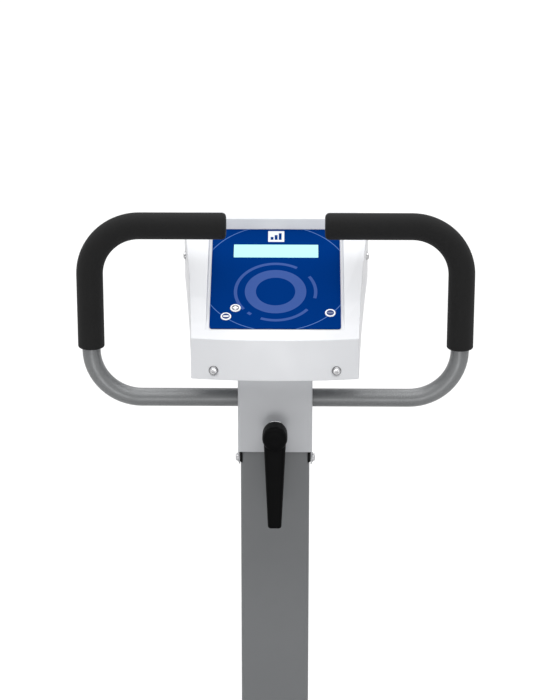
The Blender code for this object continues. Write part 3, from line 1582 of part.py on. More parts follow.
def make_drive_pulley(pivot, finishes):
    half = PULLEY_WIDTH / 2
    web = PULLEY_WEB / 2
    rim = PULLEY_RADIUS - PULLEY_RIM
    bore = CRANK_AXLE_RADIUS + GAP
    side = [(bore, half), (PULLEY_HUB_RADIUS, half), (PULLEY_HUB_RADIUS, web), (rim, web)]
    side += [(rim, half), (PULLEY_RADIUS, half)]
    profile = [(r, PULLEY_PLANE + x) for r, x in side]
    profile += [(r, PULLEY_PLANE - x) for r, x in reversed(side)]
    pulley = turned(
        "drive_pulley", "X", profile, pivot, finishes["aluminium"], sides=36, bored=True
    )
    return pulley


def make_crank_arm(label, side, forward, pivot, finishes):
    """A tapered arm with the pedal's spindle standing out of its end."""
    circles = [(0, 0, ARM_BIG_RADIUS), (forward * CRANK_LENGTH, 0, ARM_SMALL_RADIUS)]
    outlines = [rounded_hull(circles, 0, 32), rounded_hull(circles, 0, 32)]
    outlines += [rounded_hull(circles, ARM_EDGE, 32)]
    outer = ARM_INNER + ARM_THICKNESS
    heights = [side * ARM_INNER, side * (outer - ARM_EDGE), side * outer]
    arm = chamfered(f"crank_arm_{label}", "YZ", outlines, heights, pivot, finishes["chrome"])
    ends = sorted((side * (ARM_INNER - JOIN_OVERLAP), side * (outer + JOIN_OVERLAP)))
    bore_radius = CRANK_AXLE_RADIUS + GAP
    bore = rod(f"arm_bore_{label}", "X", bore_radius, ends[0], ends[1], (0, 0), pivot, 24)
    ends = sorted((side * (outer - JOIN_OVERLAP), side * (outer + SPINDLE_LENGTH)))
    centre = (forward * CRANK_LENGTH, 0)
    spindle = rod(f"spindle_{label}", "X", SPINDLE_RADIUS, ends[0], ends[1], centre, pivot)
    cut(arm, bore)
    join(arm, spindle)


def make_pedal(label, side, pivot, finishes):
    """A platform pedal, heavier below its spindle so that it hangs level, and its strap."""
    radius = PEDAL_CORNER
    middle = PEDAL_INNER + PEDAL_WIDTH / 2
    outlines = []
    for inset in (CAP_EDGE, 0, 0, CAP_EDGE):
        outline = rounded_rectangle(PEDAL_WIDTH - 2 * inset, PEDAL_LENGTH - 2 * inset, radius - inset)
        outlines.append([(x + side * middle, y) for x, y in outline])
    heights = (-PEDAL_BELOW, -PEDAL_BELOW + CAP_EDGE, PEDAL_ABOVE - CAP_EDGE, PEDAL_ABOVE)
    pedal = chamfered(f"pedal_{label}", "XY", outlines, heights, pivot, finishes["black_plastic"])
    bore_end = ARM_INNER + ARM_THICKNESS + SPINDLE_LENGTH + GAP
    ends = sorted((side * (PEDAL_INNER - PEDAL_GAP), side * bore_end))
    bore_radius = SPINDLE_RADIUS + GAP
    cut(pedal, rod(f"pedal_bore_{label}", "X", bore_radius, ends[0], ends[1], (0, 0), pivot))
    half = PEDAL_WIDTH / 2 - STRAP_INSET
    foot = PEDAL_ABOVE + GAP
    steps = 16
    outer = []
    inner = []
    for step in range(steps + 1):
        angle = math.pi * step / steps
        across = abs(math.cos(angle)) ** 0.7 * (1 if math.cos(angle) > 0 else -1)
        up = math.sin(angle) ** 0.9
        outer.append((half * across, foot + STRAP_RISE * up))
        thin_half = half - STRAP_THICKNESS
        thin_rise = STRAP_RISE - STRAP_THICKNESS
        inner.append((thin_half * across, foot + thin_rise * up))
    outline = [(x + side * middle, z) for x, z in outer + inner[::-1]]
    low = STRAP_FORWARD
    high = STRAP_FORWARD + STRAP_WIDTH
    extruded(f"pedal_strap_{label}", "XZ", outline, low, high, pivot, finishes["rubber"])


def make_flywheel(finishes):
    """Flywheel, shaft and small pulley, turned in one piece about X."""
    pivot = empty("flywheel_pivot", None, flywheel_place())
    half = FLYWHEEL_WIDTH / 2
    left = FLYWHEEL_PLANE - half
    right = FLYWHEEL_PLANE + half
    shaft = CRANK_AXLE_RADIUS
    pulley_low = PULLEY_PLANE - PULLEY_WIDTH / 2
    pulley_high = PULLEY_PLANE + PULLEY_WIDTH / 2
    hub = PULLEY_HUB_RADIUS
    rim = FLYWHEEL_RADIUS * 0.75
    dish = half * 0.4
    profile = [
        (shaft, left),
        (hub, left),
        (hub, left + dish),
        (rim, left + dish),
        (rim, left),
        (FLYWHEEL_RADIUS, left),
        (FLYWHEEL_RADIUS, right),
        (rim, right),
        (rim, right - dish),
        (hub, right - dish),
        (shaft, right - dish),
        (shaft, pulley_low),
        (SMALL_PULLEY_RADIUS, pulley_low),
        (SMALL_PULLEY_RADIUS, pulley_high),
        (shaft, pulley_high),
    ]
    turned("flywheel", "X", profile, pivot, finishes["cast_iron"])


def make_belt(finishes):
    """The belt, a taut band round both pulleys."""
    crank_y = crank_place()[1]
    wheel_y = flywheel_place()[1]
    big = PULLEY_RADIUS + BELT_GAP
    small = SMALL_PULLEY_RADIUS + BELT_GAP
    circles = [(crank_y, CRANK_HEIGHT, big), (wheel_y, FLYWHEEL_HEIGHT, small)]
    inner = rounded_hull(circles)
    outer = rounded_hull(circles, -BELT_THICKNESS)
    low = PULLEY_PLANE - BELT_WIDTH / 2
    high = PULLEY_PLANE + BELT_WIDTH / 2
    hollow_bar("drive_belt", "YZ", outer, inner, low, high, None, finishes["rubber"])


def make_magnet(finishes):
    """The brake's yoke over the flywheel's rim, bolted to the drive bracket."""
    _, y, height = flywheel_place()
    rim_left = FLYWHEEL_PLANE - FLYWHEEL_WIDTH / 2
    rim_right = FLYWHEEL_PLANE + FLYWHEEL_WIDTH / 2
    top = height + FLYWHEEL_RADIUS + MAGNET_AIR_GAP
    low = height + FLYWHEEL_RADIUS - MAGNET_GRIP
    yoke = box(
        "brake_magnet",
        (rim_left - MAGNET_AIR_GAP - MAGNET_CHEEK, PLATE_LEFT - GAP),
        (y - MAGNET_LENGTH / 2, y + MAGNET_LENGTH / 2),
        (low, top + MAGNET_WEB),
        None,
        finishes["cast_iron"],
    )
    slot = box(
        "magnet_slot",
        (rim_left - MAGNET_AIR_GAP, rim_right + MAGNET_AIR_GAP),
        (y - MAGNET_LENGTH, y + MAGNET_LENGTH),
        (low - MAGNET_GRIP, top),
    )
    cut(yoke, slot)


# Housing over the drive
def housing_circles(inset):
    """The rounded forms that the housing is stretched round."""
    crank_y = crank_place()[1]
    wheel_y = flywheel_place()[1]
    floor = BEAM_TOP + GAP + HOUSING_FOOT_RADIUS
    radius = HOUSING_FOOT_RADIUS
    return [
        (crank_y, CRANK_HEIGHT, PULLEY_RADIUS + HOUSING_CRANK_MARGIN - inset),
        (wheel_y, FLYWHEEL_HEIGHT, FLYWHEEL_RADIUS + HOUSING_FLYWHEEL_MARGIN - inset),
        (COLUMN_Y - HOUSING_FOOT_FRONT, floor, radius - inset),
        (COLUMN_Y - HOUSING_FOOT_REAR, floor, radius - inset),
    ]


def housing_layers(side, wall):
    """Outlines and heights of one half from the middle outwards, drawn in by a wall."""
    insets = (wall, wall, wall + HOUSING_EDGE * 0.3, wall + HOUSING_EDGE)
    outlines = [rounded_hull(housing_circles(inset)) for inset in insets]
    shoulder = HOUSING_HALF_WIDTH - HOUSING_EDGE * 0.3 - wall
    edge = HOUSING_HALF_WIDTH - HOUSING_EDGE - wall
    heights = [side * (GAP / 2 - wall), side * edge, side * shoulder]
    heights.append(side * (HOUSING_HALF_WIDTH - wall))
    return outlines, heights


def make_housing_half(label, side, finishes):
    """One moulded half, open towards the middle, resting on the beam."""
    level = BEAM_TOP + GAP
    outlines, heights = housing_layers(side, 0)
    paint = finishes["white_shell"]
    shell = chamfered(f"housing_{label}", "YZ", outlines, heights, None, paint)
    outlines, heights = housing_layers(side, HOUSING_WALL)
    cavity = chamfered(f"housing_room_{label}", "YZ", outlines, heights)
    crank_y = crank_place()[1]
    wheel_y = flywheel_place()[1]
    slot = box(
        f"housing_slot_{label}",
        (-HOUSING_SLOT - abs(PLATE_LEFT), HOUSING_SLOT),
        (crank_y - BEARING_TUBE_RADIUS, wheel_y + BEARING_TUBE_RADIUS),
        (0, level + 2 * HOUSING_WALL),
    )
    ends = sorted((0, side * 2 * HOUSING_HALF_WIDTH))
    hole_radius = CRANK_AXLE_RADIUS + HOUSING_AXLE_GAP
    centre = (crank_y, CRANK_HEIGHT)
    hole = rod(f"housing_axle_hole_{label}", "X", hole_radius, ends[0], ends[1], centre)
    cut(shell, cavity, slot, hole)


def make_drive(finishes):
    make_drive_bracket(finishes)
    low = BEARING_TUBE_LEFT
    high = BEARING_TUBE_RIGHT
    axis = crank_place()
    make_bearing("crank_bearing_left", axis, low, low + BEARING_WIDTH, finishes)
    make_bearing("crank_bearing_right", axis, high - BEARING_WIDTH, high, finishes)
    low = PLATE_LEFT - GAP
    high = PLATE_RIGHT + BEARING_WIDTH / 2
    make_bearing("flywheel_bearing", flywheel_place(), low, high, finishes)
    make_crank(finishes)
    make_flywheel(finishes)
    make_belt(finishes)
    make_magnet(finishes)
    for label, side in (("left", -1), ("right", 1)):
        make_housing_half(label, side, finishes)


# Shading
def make_edge_group():
    """A node group that marks every edge bent by more than a limit as sharp."""
    group = bpy.data.node_groups.new("sharp_edges", "GeometryNodeTree")
    group.interface.new_socket("Geometry", in_out="INPUT", socket_type="NodeSocketGeometry")
    group.interface.new_socket("Geometry", in_out="OUTPUT", socket_type="NodeSocketGeometry")
    source = group.nodes.new("NodeGroupInput")
    result = group.nodes.new("NodeGroupOutput")
    angle = group.nodes.new("GeometryNodeInputMeshEdgeAngle")
    bent = group.nodes.new("FunctionNodeCompare")
    bent.operation = "GREATER_THAN"
    bent.inputs[1].default_value = SHARP_ANGLE
    smooth = group.nodes.new("GeometryNodeSetShadeSmooth")
    smooth.domain = "EDGE"
    smooth.inputs["Shade Smooth"].default_value = False
    group.links.new(source.outputs[0], smooth.inputs["Geometry"])
    group.links.new(angle.outputs["Unsigned Angle"], bent.inputs[0])
    group.links.new(bent.outputs[0], smooth.inputs["Selection"])
    group.links.new(smooth.outputs[0], result.inputs[0])
    return group


def sharpen_cut_edges():
    """Keeps the edges that the cuts make crisp, on every object that has a cut."""
    group = make_edge_group()
    for made in bpy.data.objects:
        if made.modifiers:
            made.modifiers.new("sharp_edges", "NODES").node_group = group


def clear_scene():
    for leftover in list(bpy.data.objects):
        bpy.data.objects.remove(leftover, do_unlink=True)


def main():
    clear_scene()
    finishes = make_finishes()
    make_base(finishes)
    make_column(finishes)
    make_head(finishes)
    make_seat(finishes)
    make_drive(finishes)
    sharpen_cut_edges()


main()
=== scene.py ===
# %% [markdown]
# # A rehabilitation exercise bike, dressed for its picture
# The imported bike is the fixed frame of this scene. Some of its solids stay and only get a
# finish, and the ones that the camera looks at most are replaced by finer pieces in the same
# place. Everything is in metres, +Z is up, and the rider faces +Y.

# %% Load the frame
import json
import math

import bmesh
import bpy
from mathutils import Matrix, Vector
from mathutils.bvhtree import BVHTree

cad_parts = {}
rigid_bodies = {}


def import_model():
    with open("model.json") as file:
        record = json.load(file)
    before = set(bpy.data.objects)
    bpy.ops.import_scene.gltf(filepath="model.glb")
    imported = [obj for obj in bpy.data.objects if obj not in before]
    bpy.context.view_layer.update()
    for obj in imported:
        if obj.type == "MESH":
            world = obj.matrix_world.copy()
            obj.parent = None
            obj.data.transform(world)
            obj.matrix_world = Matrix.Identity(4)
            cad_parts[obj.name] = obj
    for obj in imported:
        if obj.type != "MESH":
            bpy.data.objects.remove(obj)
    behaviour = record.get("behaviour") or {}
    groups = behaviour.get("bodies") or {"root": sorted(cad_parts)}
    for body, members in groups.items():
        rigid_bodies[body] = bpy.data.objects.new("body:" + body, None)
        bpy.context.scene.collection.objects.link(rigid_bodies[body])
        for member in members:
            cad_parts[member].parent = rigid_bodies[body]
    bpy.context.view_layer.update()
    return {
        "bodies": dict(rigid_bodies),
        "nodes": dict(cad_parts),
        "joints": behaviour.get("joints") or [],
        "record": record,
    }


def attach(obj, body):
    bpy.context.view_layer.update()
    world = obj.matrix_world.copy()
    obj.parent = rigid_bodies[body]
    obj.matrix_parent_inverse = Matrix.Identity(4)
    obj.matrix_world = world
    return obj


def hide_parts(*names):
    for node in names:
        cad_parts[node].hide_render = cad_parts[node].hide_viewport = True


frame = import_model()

nodes = frame["nodes"]

# %% [markdown]
# ## Reference places
# The real bike is set out from a few axes: the bar's axis at the head, the tilted control
# panel, the leaning seat tube and the crank. A small matrix for each lets a piece be drawn in
# its own easy frame and then be put where it belongs.

# %% Axes that pieces are drawn on
def at(x, y, z):
    return Matrix.Translation((x, y, z))


def turn_by(degrees, axis):
    return Matrix.Rotation(math.radians(degrees), 4, axis)


SIDES = (("left", -1), ("right", 1))
BAR_AXIS = Vector((0, 0.304, 1.030))
PANEL_TILT, SEAT_LEAN, CRANK_DIP = 27, 12, 32
PANEL_Y, PANEL_Z = -0.050, 0.1005
STUD_Z = -0.0225
SEAT_TUBE_Y, BEAM_TOP = -0.148, 0.1023
CRANK_SPOT = (-0.006, 0.300)
SLOPE = math.tan(math.radians(PANEL_TILT))

HEAD = Matrix.Translation(BAR_AXIS)
PANEL = HEAD @ at(0, PANEL_Y, PANEL_Z) @ turn_by(PANEL_TILT, "X")
PANEL_FROM_HEAD = HEAD.inverted() @ PANEL
LEVER = HEAD @ at(0, -0.043, STUD_Z)
SEAT_TUBE = at(0, SEAT_TUBE_Y, BEAM_TOP) @ turn_by(SEAT_LEAN, "X")
SADDLE = SEAT_TUBE @ at(0, 0, 0.6856) @ turn_by(-SEAT_LEAN, "X")
CRANK = at(0, *CRANK_SPOT) @ turn_by(-CRANK_DIP, "X")
ALONG_X, ALONG_Y = turn_by(90, "Y"), turn_by(-90, "X")
print("saddle frame at", [round(v, 4) for v in SADDLE.translation])

# %% [markdown]
# ## Camera
# The picture was taken from a little above the rider's shoulders with a long lens, so the
# sides of the column stay nearly parallel. The camera is aimed by its own three axes instead
# of by angles, which keeps the horizon level.

# %% Camera
LENS_PIXELS, PICTURE_HEIGHT, FILM = 2340, 700, 36
VIEW_DOWN, VIEW_TURN = math.radians(19.11), math.radians(0.65)
VIEW_DISTANCE, VIEW_LEFT, VIEW_UP = 2.739, 0.00638, 0.05526

right_axis = Vector((math.cos(VIEW_TURN), math.sin(VIEW_TURN), 0))
level_axis = Vector((-math.sin(VIEW_TURN), math.cos(VIEW_TURN), 0))
view_axis = level_axis * math.cos(VIEW_DOWN) - Vector((0, 0, math.sin(VIEW_DOWN)))
up_axis = right_axis.cross(view_axis)

def linked(name, data):
    """A new object in the scene."""
    made = bpy.data.objects.new(name, data)
    bpy.context.scene.collection.objects.link(made)
    return made


camera = linked("camera", bpy.data.cameras.new("camera"))
camera.data.sensor_width = FILM
camera.data.lens = FILM * LENS_PIXELS / PICTURE_HEIGHT
place = BAR_AXIS - view_axis * VIEW_DISTANCE - right_axis * VIEW_LEFT + up_axis * VIEW_UP
turn = Matrix((right_axis, up_axis, -view_axis)).transposed().to_4x4()
camera.matrix_world = Matrix.Translation(place) @ turn
bpy.context.scene.camera = camera
print("camera at", [round(v, 3) for v in place])

# %% [markdown]
# ## Light and floor
# A product picture has soft light from above and a white surround. A weak even world light
# fills the shadows and a wide sun stands for the bright ceiling that lights the tops. A soft box
# low in front throws the lever's soft shadow upwards on the sleeve. The surround is white only to
# the camera and to what metal and glass mirror or let through, so it adds no light.

# %% World
def tool(tree, kind, values=None, **settings):
    """Adds a node to a tree. A value that is a socket is linked, any other is set."""
    added = tree.nodes.new(kind)
    for key, value in settings.items():
        setattr(added, key, value)
    for key, value in (values or {}).items():
        if isinstance(value, bpy.types.NodeSocket):
            tree.links.new(value, added.inputs[key])
        else:
            added.inputs[key].default_value = value
    return added


def node(made, kind, values=None, **settings):
    """Adds a shader node to a material or a world."""
    return tool(made.node_tree, "ShaderNode" + kind, values, **settings)


def looking(made):
    """1 for the camera's rays and for those that metal and glass mirror or let through."""
    rays = node(made, "LightPath").outputs
    sight = rays["Is Camera Ray"]
    for kind in ("Is Glossy Ray", "Is Transmission Ray"):
        sight = node(made, "Math", {0: sight, 1: rays[kind]}, operation="MAXIMUM").outputs[0]
    return sight


ROOM_LIGHT = 0.12
world = bpy.data.worlds.new("soft_room")
bpy.context.scene.world = world
world.use_nodes = True
world.node_tree.nodes.clear()
room = node(world, "Background", {"Color": (1, 1, 1, 1), "Strength": ROOM_LIGHT})
seen = node(world, "Background", {"Color": (1, 1, 1, 1), "Strength": 1.0})
pick = node(world, "MixShader", {0: looking(world), 1: room.outputs[0], 2: seen.outputs[0]})
node(world, "OutputWorld", {"Surface": pick.outputs[0]})
bpy.context.scene.view_settings.view_transform = "Standard"


# %% Lamps
def soft_lamp(name, size, watts, spot, target):
    """A square soft box at a spot, turned towards its target."""
    data = bpy.data.lights.new(name, "AREA")
    data.shape = "SQUARE"
    data.size = size
    data.energy = watts
    lamp = linked(name, data)
    lamp.location = spot
    lamp.rotation_mode = "QUATERNION"
    lamp.rotation_quaternion = (Vector(target) - Vector(spot)).to_track_quat("-Z", "Y")
    return lamp


ceiling = linked("bright_ceiling", bpy.data.lights.new("bright_ceiling", "SUN"))
ceiling.data.energy = 3.95
ceiling.data.angle = math.radians(100)
soft_lamp("low_front_box", 0.7, 11, (0, -2.0, 0.55), (0, 0.2, 1.0))

# %% Floor
FLOOR_HALF, FLOOR_Z = 30, -0.0005
corners = [(x * FLOOR_HALF, y * FLOOR_HALF, FLOOR_Z) for x, y in ((-1, -1), (1, -1), (1, 1), (-1, 1))]
floor_mesh = bpy.data.meshes.new("floor")
floor_mesh.from_pydata(corners, [], [(0, 1, 2, 3)])
floor = linked("floor", floor_mesh)
floor_finish = bpy.data.materials.new("pale_floor")
floor_finish.use_nodes = True
floor_finish.node_tree.nodes.clear()
matt = node(floor_finish, "BsdfDiffuse", {"Color": (0.60, 0.60, 0.60, 1)})
glow = node(floor_finish, "Emission", {"Strength": 0.30})
both = node(floor_finish, "AddShader", {0: matt.outputs[0], 1: glow.outputs[0]})
shown = node(floor_finish, "MixShader", {0: looking(floor_finish), 1: matt.outputs[0], 2: both.outputs[0]})
node(floor_finish, "OutputMaterial", {"Surface": shown.outputs[0]})
floor_mesh.materials.append(floor_finish)
print("floor ready")

# %% [markdown]
# ## Finishes
# Each real surface has a little life in it: powder coat has the skin of an orange, moulded
# plastic carries the fine pits of its mould, foam is full of cells and turned steel keeps the
# marks of the tool. All of that is drawn with noise on Object coordinates, in metres, so its
# grain has the true size and stays with the piece. A few small helpers keep the trees short.


# %% Helpers for finishes
def new_finish(name, colour, roughness, metallic=0.0, **more):
    """A Principled finish. Other sockets are named with underscores for spaces."""
    made = bpy.data.materials.new(name)
    made.use_nodes = True
    made.diffuse_color = (*colour, 1)
    shader = made.node_tree.nodes["Principled BSDF"]
    values = {"Base Color": (*colour, 1), "Roughness": roughness, "Metallic": metallic}
    values.update({key.replace("_", " "): value for key, value in more.items()})
    for key, value in values.items():
        shader.inputs[key].default_value = value
    return made


def maths(made, operation, first, second=0.0, third=0.0):
    return node(made, "Math", {0: first, 1: second, 2: third}, operation=operation).outputs[0]


def place_of(made, turn=(0, 0, 0), shift=(0, 0, 0), scale=(1, 1, 1)):
    """Object coordinates, scaled, turned and then shifted."""
    where = node(made, "TexCoord").outputs["Object"]
    values = {"Vector": where, "Location": shift, "Rotation": turn, "Scale": scale}
    return node(made, "Mapping", values).outputs[0]


def place_in(made, matrix):
    """Object coordinates seen from one of the reference places."""
    back = matrix.inverted()
    return place_of(made, tuple(back.to_euler()), tuple(back.translation))


def noise(made, scale, detail=2.0, where=None):
    values = {"Vector": where or place_of(made), "Scale": scale, "Detail": detail}
    return node(made, "TexNoise", values).outputs[0]


def spread(made, value, low, high, to_low=0.0, to_high=1.0):
    """Maps a range of a value on another one, and clamps it."""
    values = {0: value, 1: low, 2: high, 3: to_low, 4: to_high}
    return node(made, "MapRange", values).outputs[0]


def blend_colours(made, factor, first, second):
    """Mixes two colours, each a socket or three numbers."""
    first, second = [(*value, 1) if isinstance(value, tuple) else value for value in (first, second)]
    return node(made, "Mix", {0: factor, 6: first, 7: second}, data_type="RGBA").outputs[2]


def feed(made, socket, value):
    shader = made.node_tree.nodes["Principled BSDF"]
    made.node_tree.links.new(value, shader.inputs[socket])


def relief(made, height, depth, before=None):
    """Raises the surface by a height of 0 to 1 times a depth in metres."""
    values = {"Height": height, "Distance": depth, "Strength": 1.0}
    if before:
        values["Normal"] = before
    bump = node(made, "Bump", values)
    feed(made, "Normal", bump.outputs[0])
    return bump.outputs[0]


def shaded(colour, amount):
    return tuple(min(max(channel * amount, 0), 1) for channel in colour)


def clouded(made, colour, pattern, amount):
    """The colour, a little darker and lighter along a pattern."""
    return blend_colours(made, pattern, shaded(colour, 1 - amount), shaded(colour, 1 + amount))


def rubbed(made, body, lighter, low, high, wear):
    """Blends a lighter colour in where the surface has an edge."""
    edge = node(made, "NewGeometry").outputs["Pointiness"]
    return blend_colours(made, maths(made, "MULTIPLY", spread(made, edge, low, high), wear), body, lighter)


def uneven_gloss(made, pattern, low, high):
    """Lets the roughness wander between two values along a pattern."""
    feed(made, "Roughness", spread(made, pattern, 0.3, 0.7, low, high))


# %% Painted steel
def powder_coat(name, colour, roughness, metallic=0.0, wear=0.25, flake=0.0):
    """Paint with an orange-peel skin, faint cloudiness and edges rubbed a little lighter."""
    made = new_finish(name, colour, roughness, metallic, Coat_Weight=0.08, Coat_Roughness=0.3)
    body = clouded(made, colour, noise(made, 9, 3), 0.035)
    if flake:
        speck = spread(made, noise(made, 2600, 0), 0.62, 0.78)
        body = blend_colours(made, maths(made, "MULTIPLY", speck, flake), body, (0.75, 0.76, 0.78))
    feed(made, "Base Color", rubbed(made, body, shaded(colour, 1.6), 0.53, 0.62, wear))
    uneven_gloss(made, noise(made, 60, 2), roughness - 0.04, roughness + 0.05)
    skin = relief(made, noise(made, 420, 2), 0.00004)
    relief(made, noise(made, 2400, 1), 0.000008, skin)
    return made


# %% Moulded plastic
def moulding(name, colour, roughness, grain=1500, depth=0.00002, wear=0.15, cloudy=0.02, gloss=0.5):
    """Plastic with the fine pits of a spark-eroded mould."""
    made = new_finish(name, colour, roughness, Specular_IOR_Level=gloss)
    body = clouded(made, colour, noise(made, 14, 2), cloudy)
    feed(made, "Base Color", rubbed(made, body, shaded(colour, 1.5), 0.54, 0.64, wear))
    uneven_gloss(made, noise(made, 40, 2), roughness - 0.05, roughness + 0.05)
    pits = node(made, "TexVoronoi", {"Vector": place_of(made), "Scale": grain, "Randomness": 1.0})
    relief(made, pits.outputs["Distance"], depth)
    return made


# %% Bare metal
def bare_metal(name, colour, roughness, stretch=(1, 1, 1), scale=300, depth=0.000006, tint=0.06):
    """Metal with fine tool marks, drawn out along the axes with a small stretch."""
    made = new_finish(name, colour, roughness, 1.0)
    streak = noise(made, scale, 3, place_of(made, scale=stretch))
    feed(made, "Base Color", clouded(made, colour, streak, tint))
    uneven_gloss(made, streak, roughness * 0.8, roughness * 1.25)
    relief(made, streak, depth)
    return made


# %% Foam and rubber
def foam(name, colour, roughness):
    """Closed-cell foam: a skin of small soft cells with open pores here and there, drawn darker as painted
    shade.
    """
    sheen = {"Sheen_Weight": 0.03, "Sheen_Roughness": 0.6}
    made = new_finish(name, colour, roughness, Specular_IOR_Level=0.12, **sheen)
    cells = node(made, "TexVoronoi", {"Vector": place_of(made), "Scale": 900.0, "Randomness": 1.0})
    pores = spread(made, noise(made, 700, 1), 0.62, 0.72)
    body = blend_colours(made, noise(made, 35, 3), shaded(colour, 0.9), shaded(colour, 1.12))
    # The pores get a darker colour: painted shade inside them.
    body = blend_colours(made, maths(made, "MULTIPLY", pores, 0.5), body, shaded(colour, 0.5))
    feed(made, "Base Color", body)
    skin = relief(made, cells.outputs["Distance"], 0.00012)
    skin = relief(made, maths(made, "SUBTRACT", 1.0, pores), 0.00006, skin)
    relief(made, noise(made, 130, 2), 0.0002, skin)
    return made


def rubber(name, colour, roughness):
    """Dull rubber with a fine grain and some dust."""
    made = new_finish(name, colour, roughness, Specular_IOR_Level=0.2)
    dust = spread(made, noise(made, 90, 4), 0.55, 0.8, 0, 0.3)
    feed(made, "Base Color", blend_colours(made, dust, colour, shaded(colour, 2.6)))
    relief(made, noise(made, 800, 3), 0.00004)
    return made


# %% Keypad print
PRINT_BLUE = (0.0004, 0.030, 0.183)
PRINT_PALE = (0.048, 0.097, 0.316)
PRINT_LINE = (0.11, 0.21, 0.50)
PRINT_WHITE = (0.80, 0.82, 0.86)
RING = (0, 0.0614, 0.0227, 0.0355)
ARC_BAND, ARCS = (0, 0.0610, 0.0444, 0.0482), ((58, 218), (227, 233), (249, 322), (-13, 33))
HAIRLINE = (0, 0.0850, 0.0869, 0.0877)
FIELD = (-0.0095, 0.0095, 0.1446, 0.1630)
WINDOW = (-0.0520, 0.0520, 0.1155, 0.1423)


def band(made, value, low, high, soft=0.00012):
    """1 where a value lies between two others, with a soft edge."""
    up = spread(made, value, low - soft, low + soft)
    down = spread(made, value, high - soft, high + soft, 1.0, 0.0)
    return maths(made, "MULTIPLY", up, down)


def ring_mask(made, where, x, y, inner, outer, start=None, end=None):
    """A ring round a point of the panel, or the part of it between two angles."""
    spot = (x, y, 0)
    reach = node(made, "VectorMath", {0: where, 1: spot}, operation="DISTANCE").outputs["Value"]
    mask = band(made, reach, inner, outer)
    if start is not None:
        apart = node(made, "VectorMath", {0: where, 1: spot}, operation="SUBTRACT").outputs[0]
        parts = node(made, "SeparateXYZ", {0: apart})
        middle = math.radians((start + end) / 2)
        turned_x = maths(made, "MULTIPLY", parts.outputs["X"], math.cos(middle))
        turned_x = maths(made, "MULTIPLY_ADD", parts.outputs["Y"], math.sin(middle), turned_x)
        turned_y = maths(made, "MULTIPLY", parts.outputs["Y"], math.cos(middle))
        turned_y = maths(made, "MULTIPLY_ADD", parts.outputs["X"], -math.sin(middle), turned_y)
        angle = maths(made, "ABSOLUTE", maths(made, "ARCTAN2", turned_y, turned_x))
        half = math.radians((end - start) / 2)
        mask = maths(made, "MULTIPLY", mask, spread(made, angle, half - 0.003, half + 0.003, 1.0, 0.0))
    return mask


def box_mask(made, parts, left, right, low, high, soft=0.00012):
    """1 in a rectangle of the panel, with soft edges."""
    across = band(made, parts.outputs["X"], left, right, soft)
    return maths(made, "MULTIPLY", across, band(made, parts.outputs["Y"], low, high, soft))


def keypad_print(name):
    """Deep blue foil with pale rings, a hairline circle and a white field with rising bars."""
    made = new_finish(name, PRINT_BLUE, 0.42, Specular_IOR_Level=0.0)
    where = place_in(made, PANEL)
    parts = node(made, "SeparateXYZ", {0: where})
    pale = ring_mask(made, where, *RING)
    for start, end in ARCS:
        pale = maths(made, "MAXIMUM", pale, ring_mask(made, where, *ARC_BAND, start, end))
    hairline = ring_mask(made, where, *HAIRLINE)
    body = clouded(made, PRINT_BLUE, noise(made, 30, 2, where), 0.03)
    body = blend_colours(made, pale, body, PRINT_PALE)
    body = blend_colours(made, hairline, body, PRINT_LINE)
    body = blend_colours(made, box_mask(made, parts, *FIELD), body, PRINT_WHITE)
    for k in range(3):
        left = -0.0066 + 0.0048 * k
        bar = box_mask(made, parts, left, left + 0.0034, 0.1480, 0.1530 + 0.0032 * k)
        body = blend_colours(made, bar, body, PRINT_BLUE)
    feed(made, "Base Color", body)
    skin = relief(made, noise(made, 1600, 1, where), 0.000006)
    window_rim = box_mask(made, parts, *WINDOW, 0.0006)
    relief(made, maths(made, "SUBTRACT", 1.0, window_rim), 0.00008, skin)
    return made


# %% The finishes of the bike
WHITE, BLACK = (0.735, 0.745, 0.77), (0.0031, 0.0032, 0.0034)
finishes = {
    "white_shell": moulding("white_moulding", WHITE, 0.36, 1300, 0.000012, 0.10, 0.008),
    "black_plastic": moulding("black_moulding", BLACK, 0.45, 1500, 0.00003, 0.5, gloss=0.03),
    "light_grey_paint": powder_coat("light_grey_coat", (0.50, 0.51, 0.53), 0.42, 0.0, 0.5),
    "mid_grey_paint": powder_coat("silver_grey_coat", (0.155, 0.160, 0.163), 0.42, 0.35, 0.2, 0.25),
    "dark_grey_paint": powder_coat("dark_grey_coat", (0.1445, 0.1505, 0.156), 0.46, 0.0, 0.35),
    "zinc": bare_metal("zinc_plate", (0.44, 0.44, 0.45), 0.27),
    "chrome": bare_metal("chrome_plate", (0.78, 0.79, 0.81), 0.12, (1, 1, 0.1), 200, 0.000003, 0.03),
    "aluminium": bare_metal("milled_aluminium", (0.60, 0.61, 0.62), 0.34, (0.1, 1, 1), 600),
    "cast_iron": bare_metal("turned_iron", (0.16, 0.16, 0.165), 0.52, (1, 1, 1), 500, 0.00003, 0.12),
    "foam": foam("black_foam", (0.012, 0.012, 0.0122), 0.8),
    "rubber": rubber("black_rubber", (0.012, 0.012, 0.012), 0.8),
    "seat_vinyl": moulding("seat_vinyl_plain", (0.014, 0.014, 0.015), 0.5, gloss=0.25),
    "board_green": moulding("board_mask", (0.02, 0.16, 0.07), 0.4),
    "key_white": moulding("key_white_plain", (0.72, 0.75, 0.82), 0.35),
    "lcd_lens": new_finish("display_window", (0.46, 0.97, 0.98), 0.2, Specular_IOR_Level=0.12),
    "panel_blue": keypad_print("keypad_print"),
}
slots = {row["node"]: row["material_slot"] for row in frame["record"]["subparts"]}
for name, piece in nodes.items():
    piece.data.materials.clear()
    piece.data.materials.append(finishes[slots[name]])
print(len(slots), "solids have a finish")

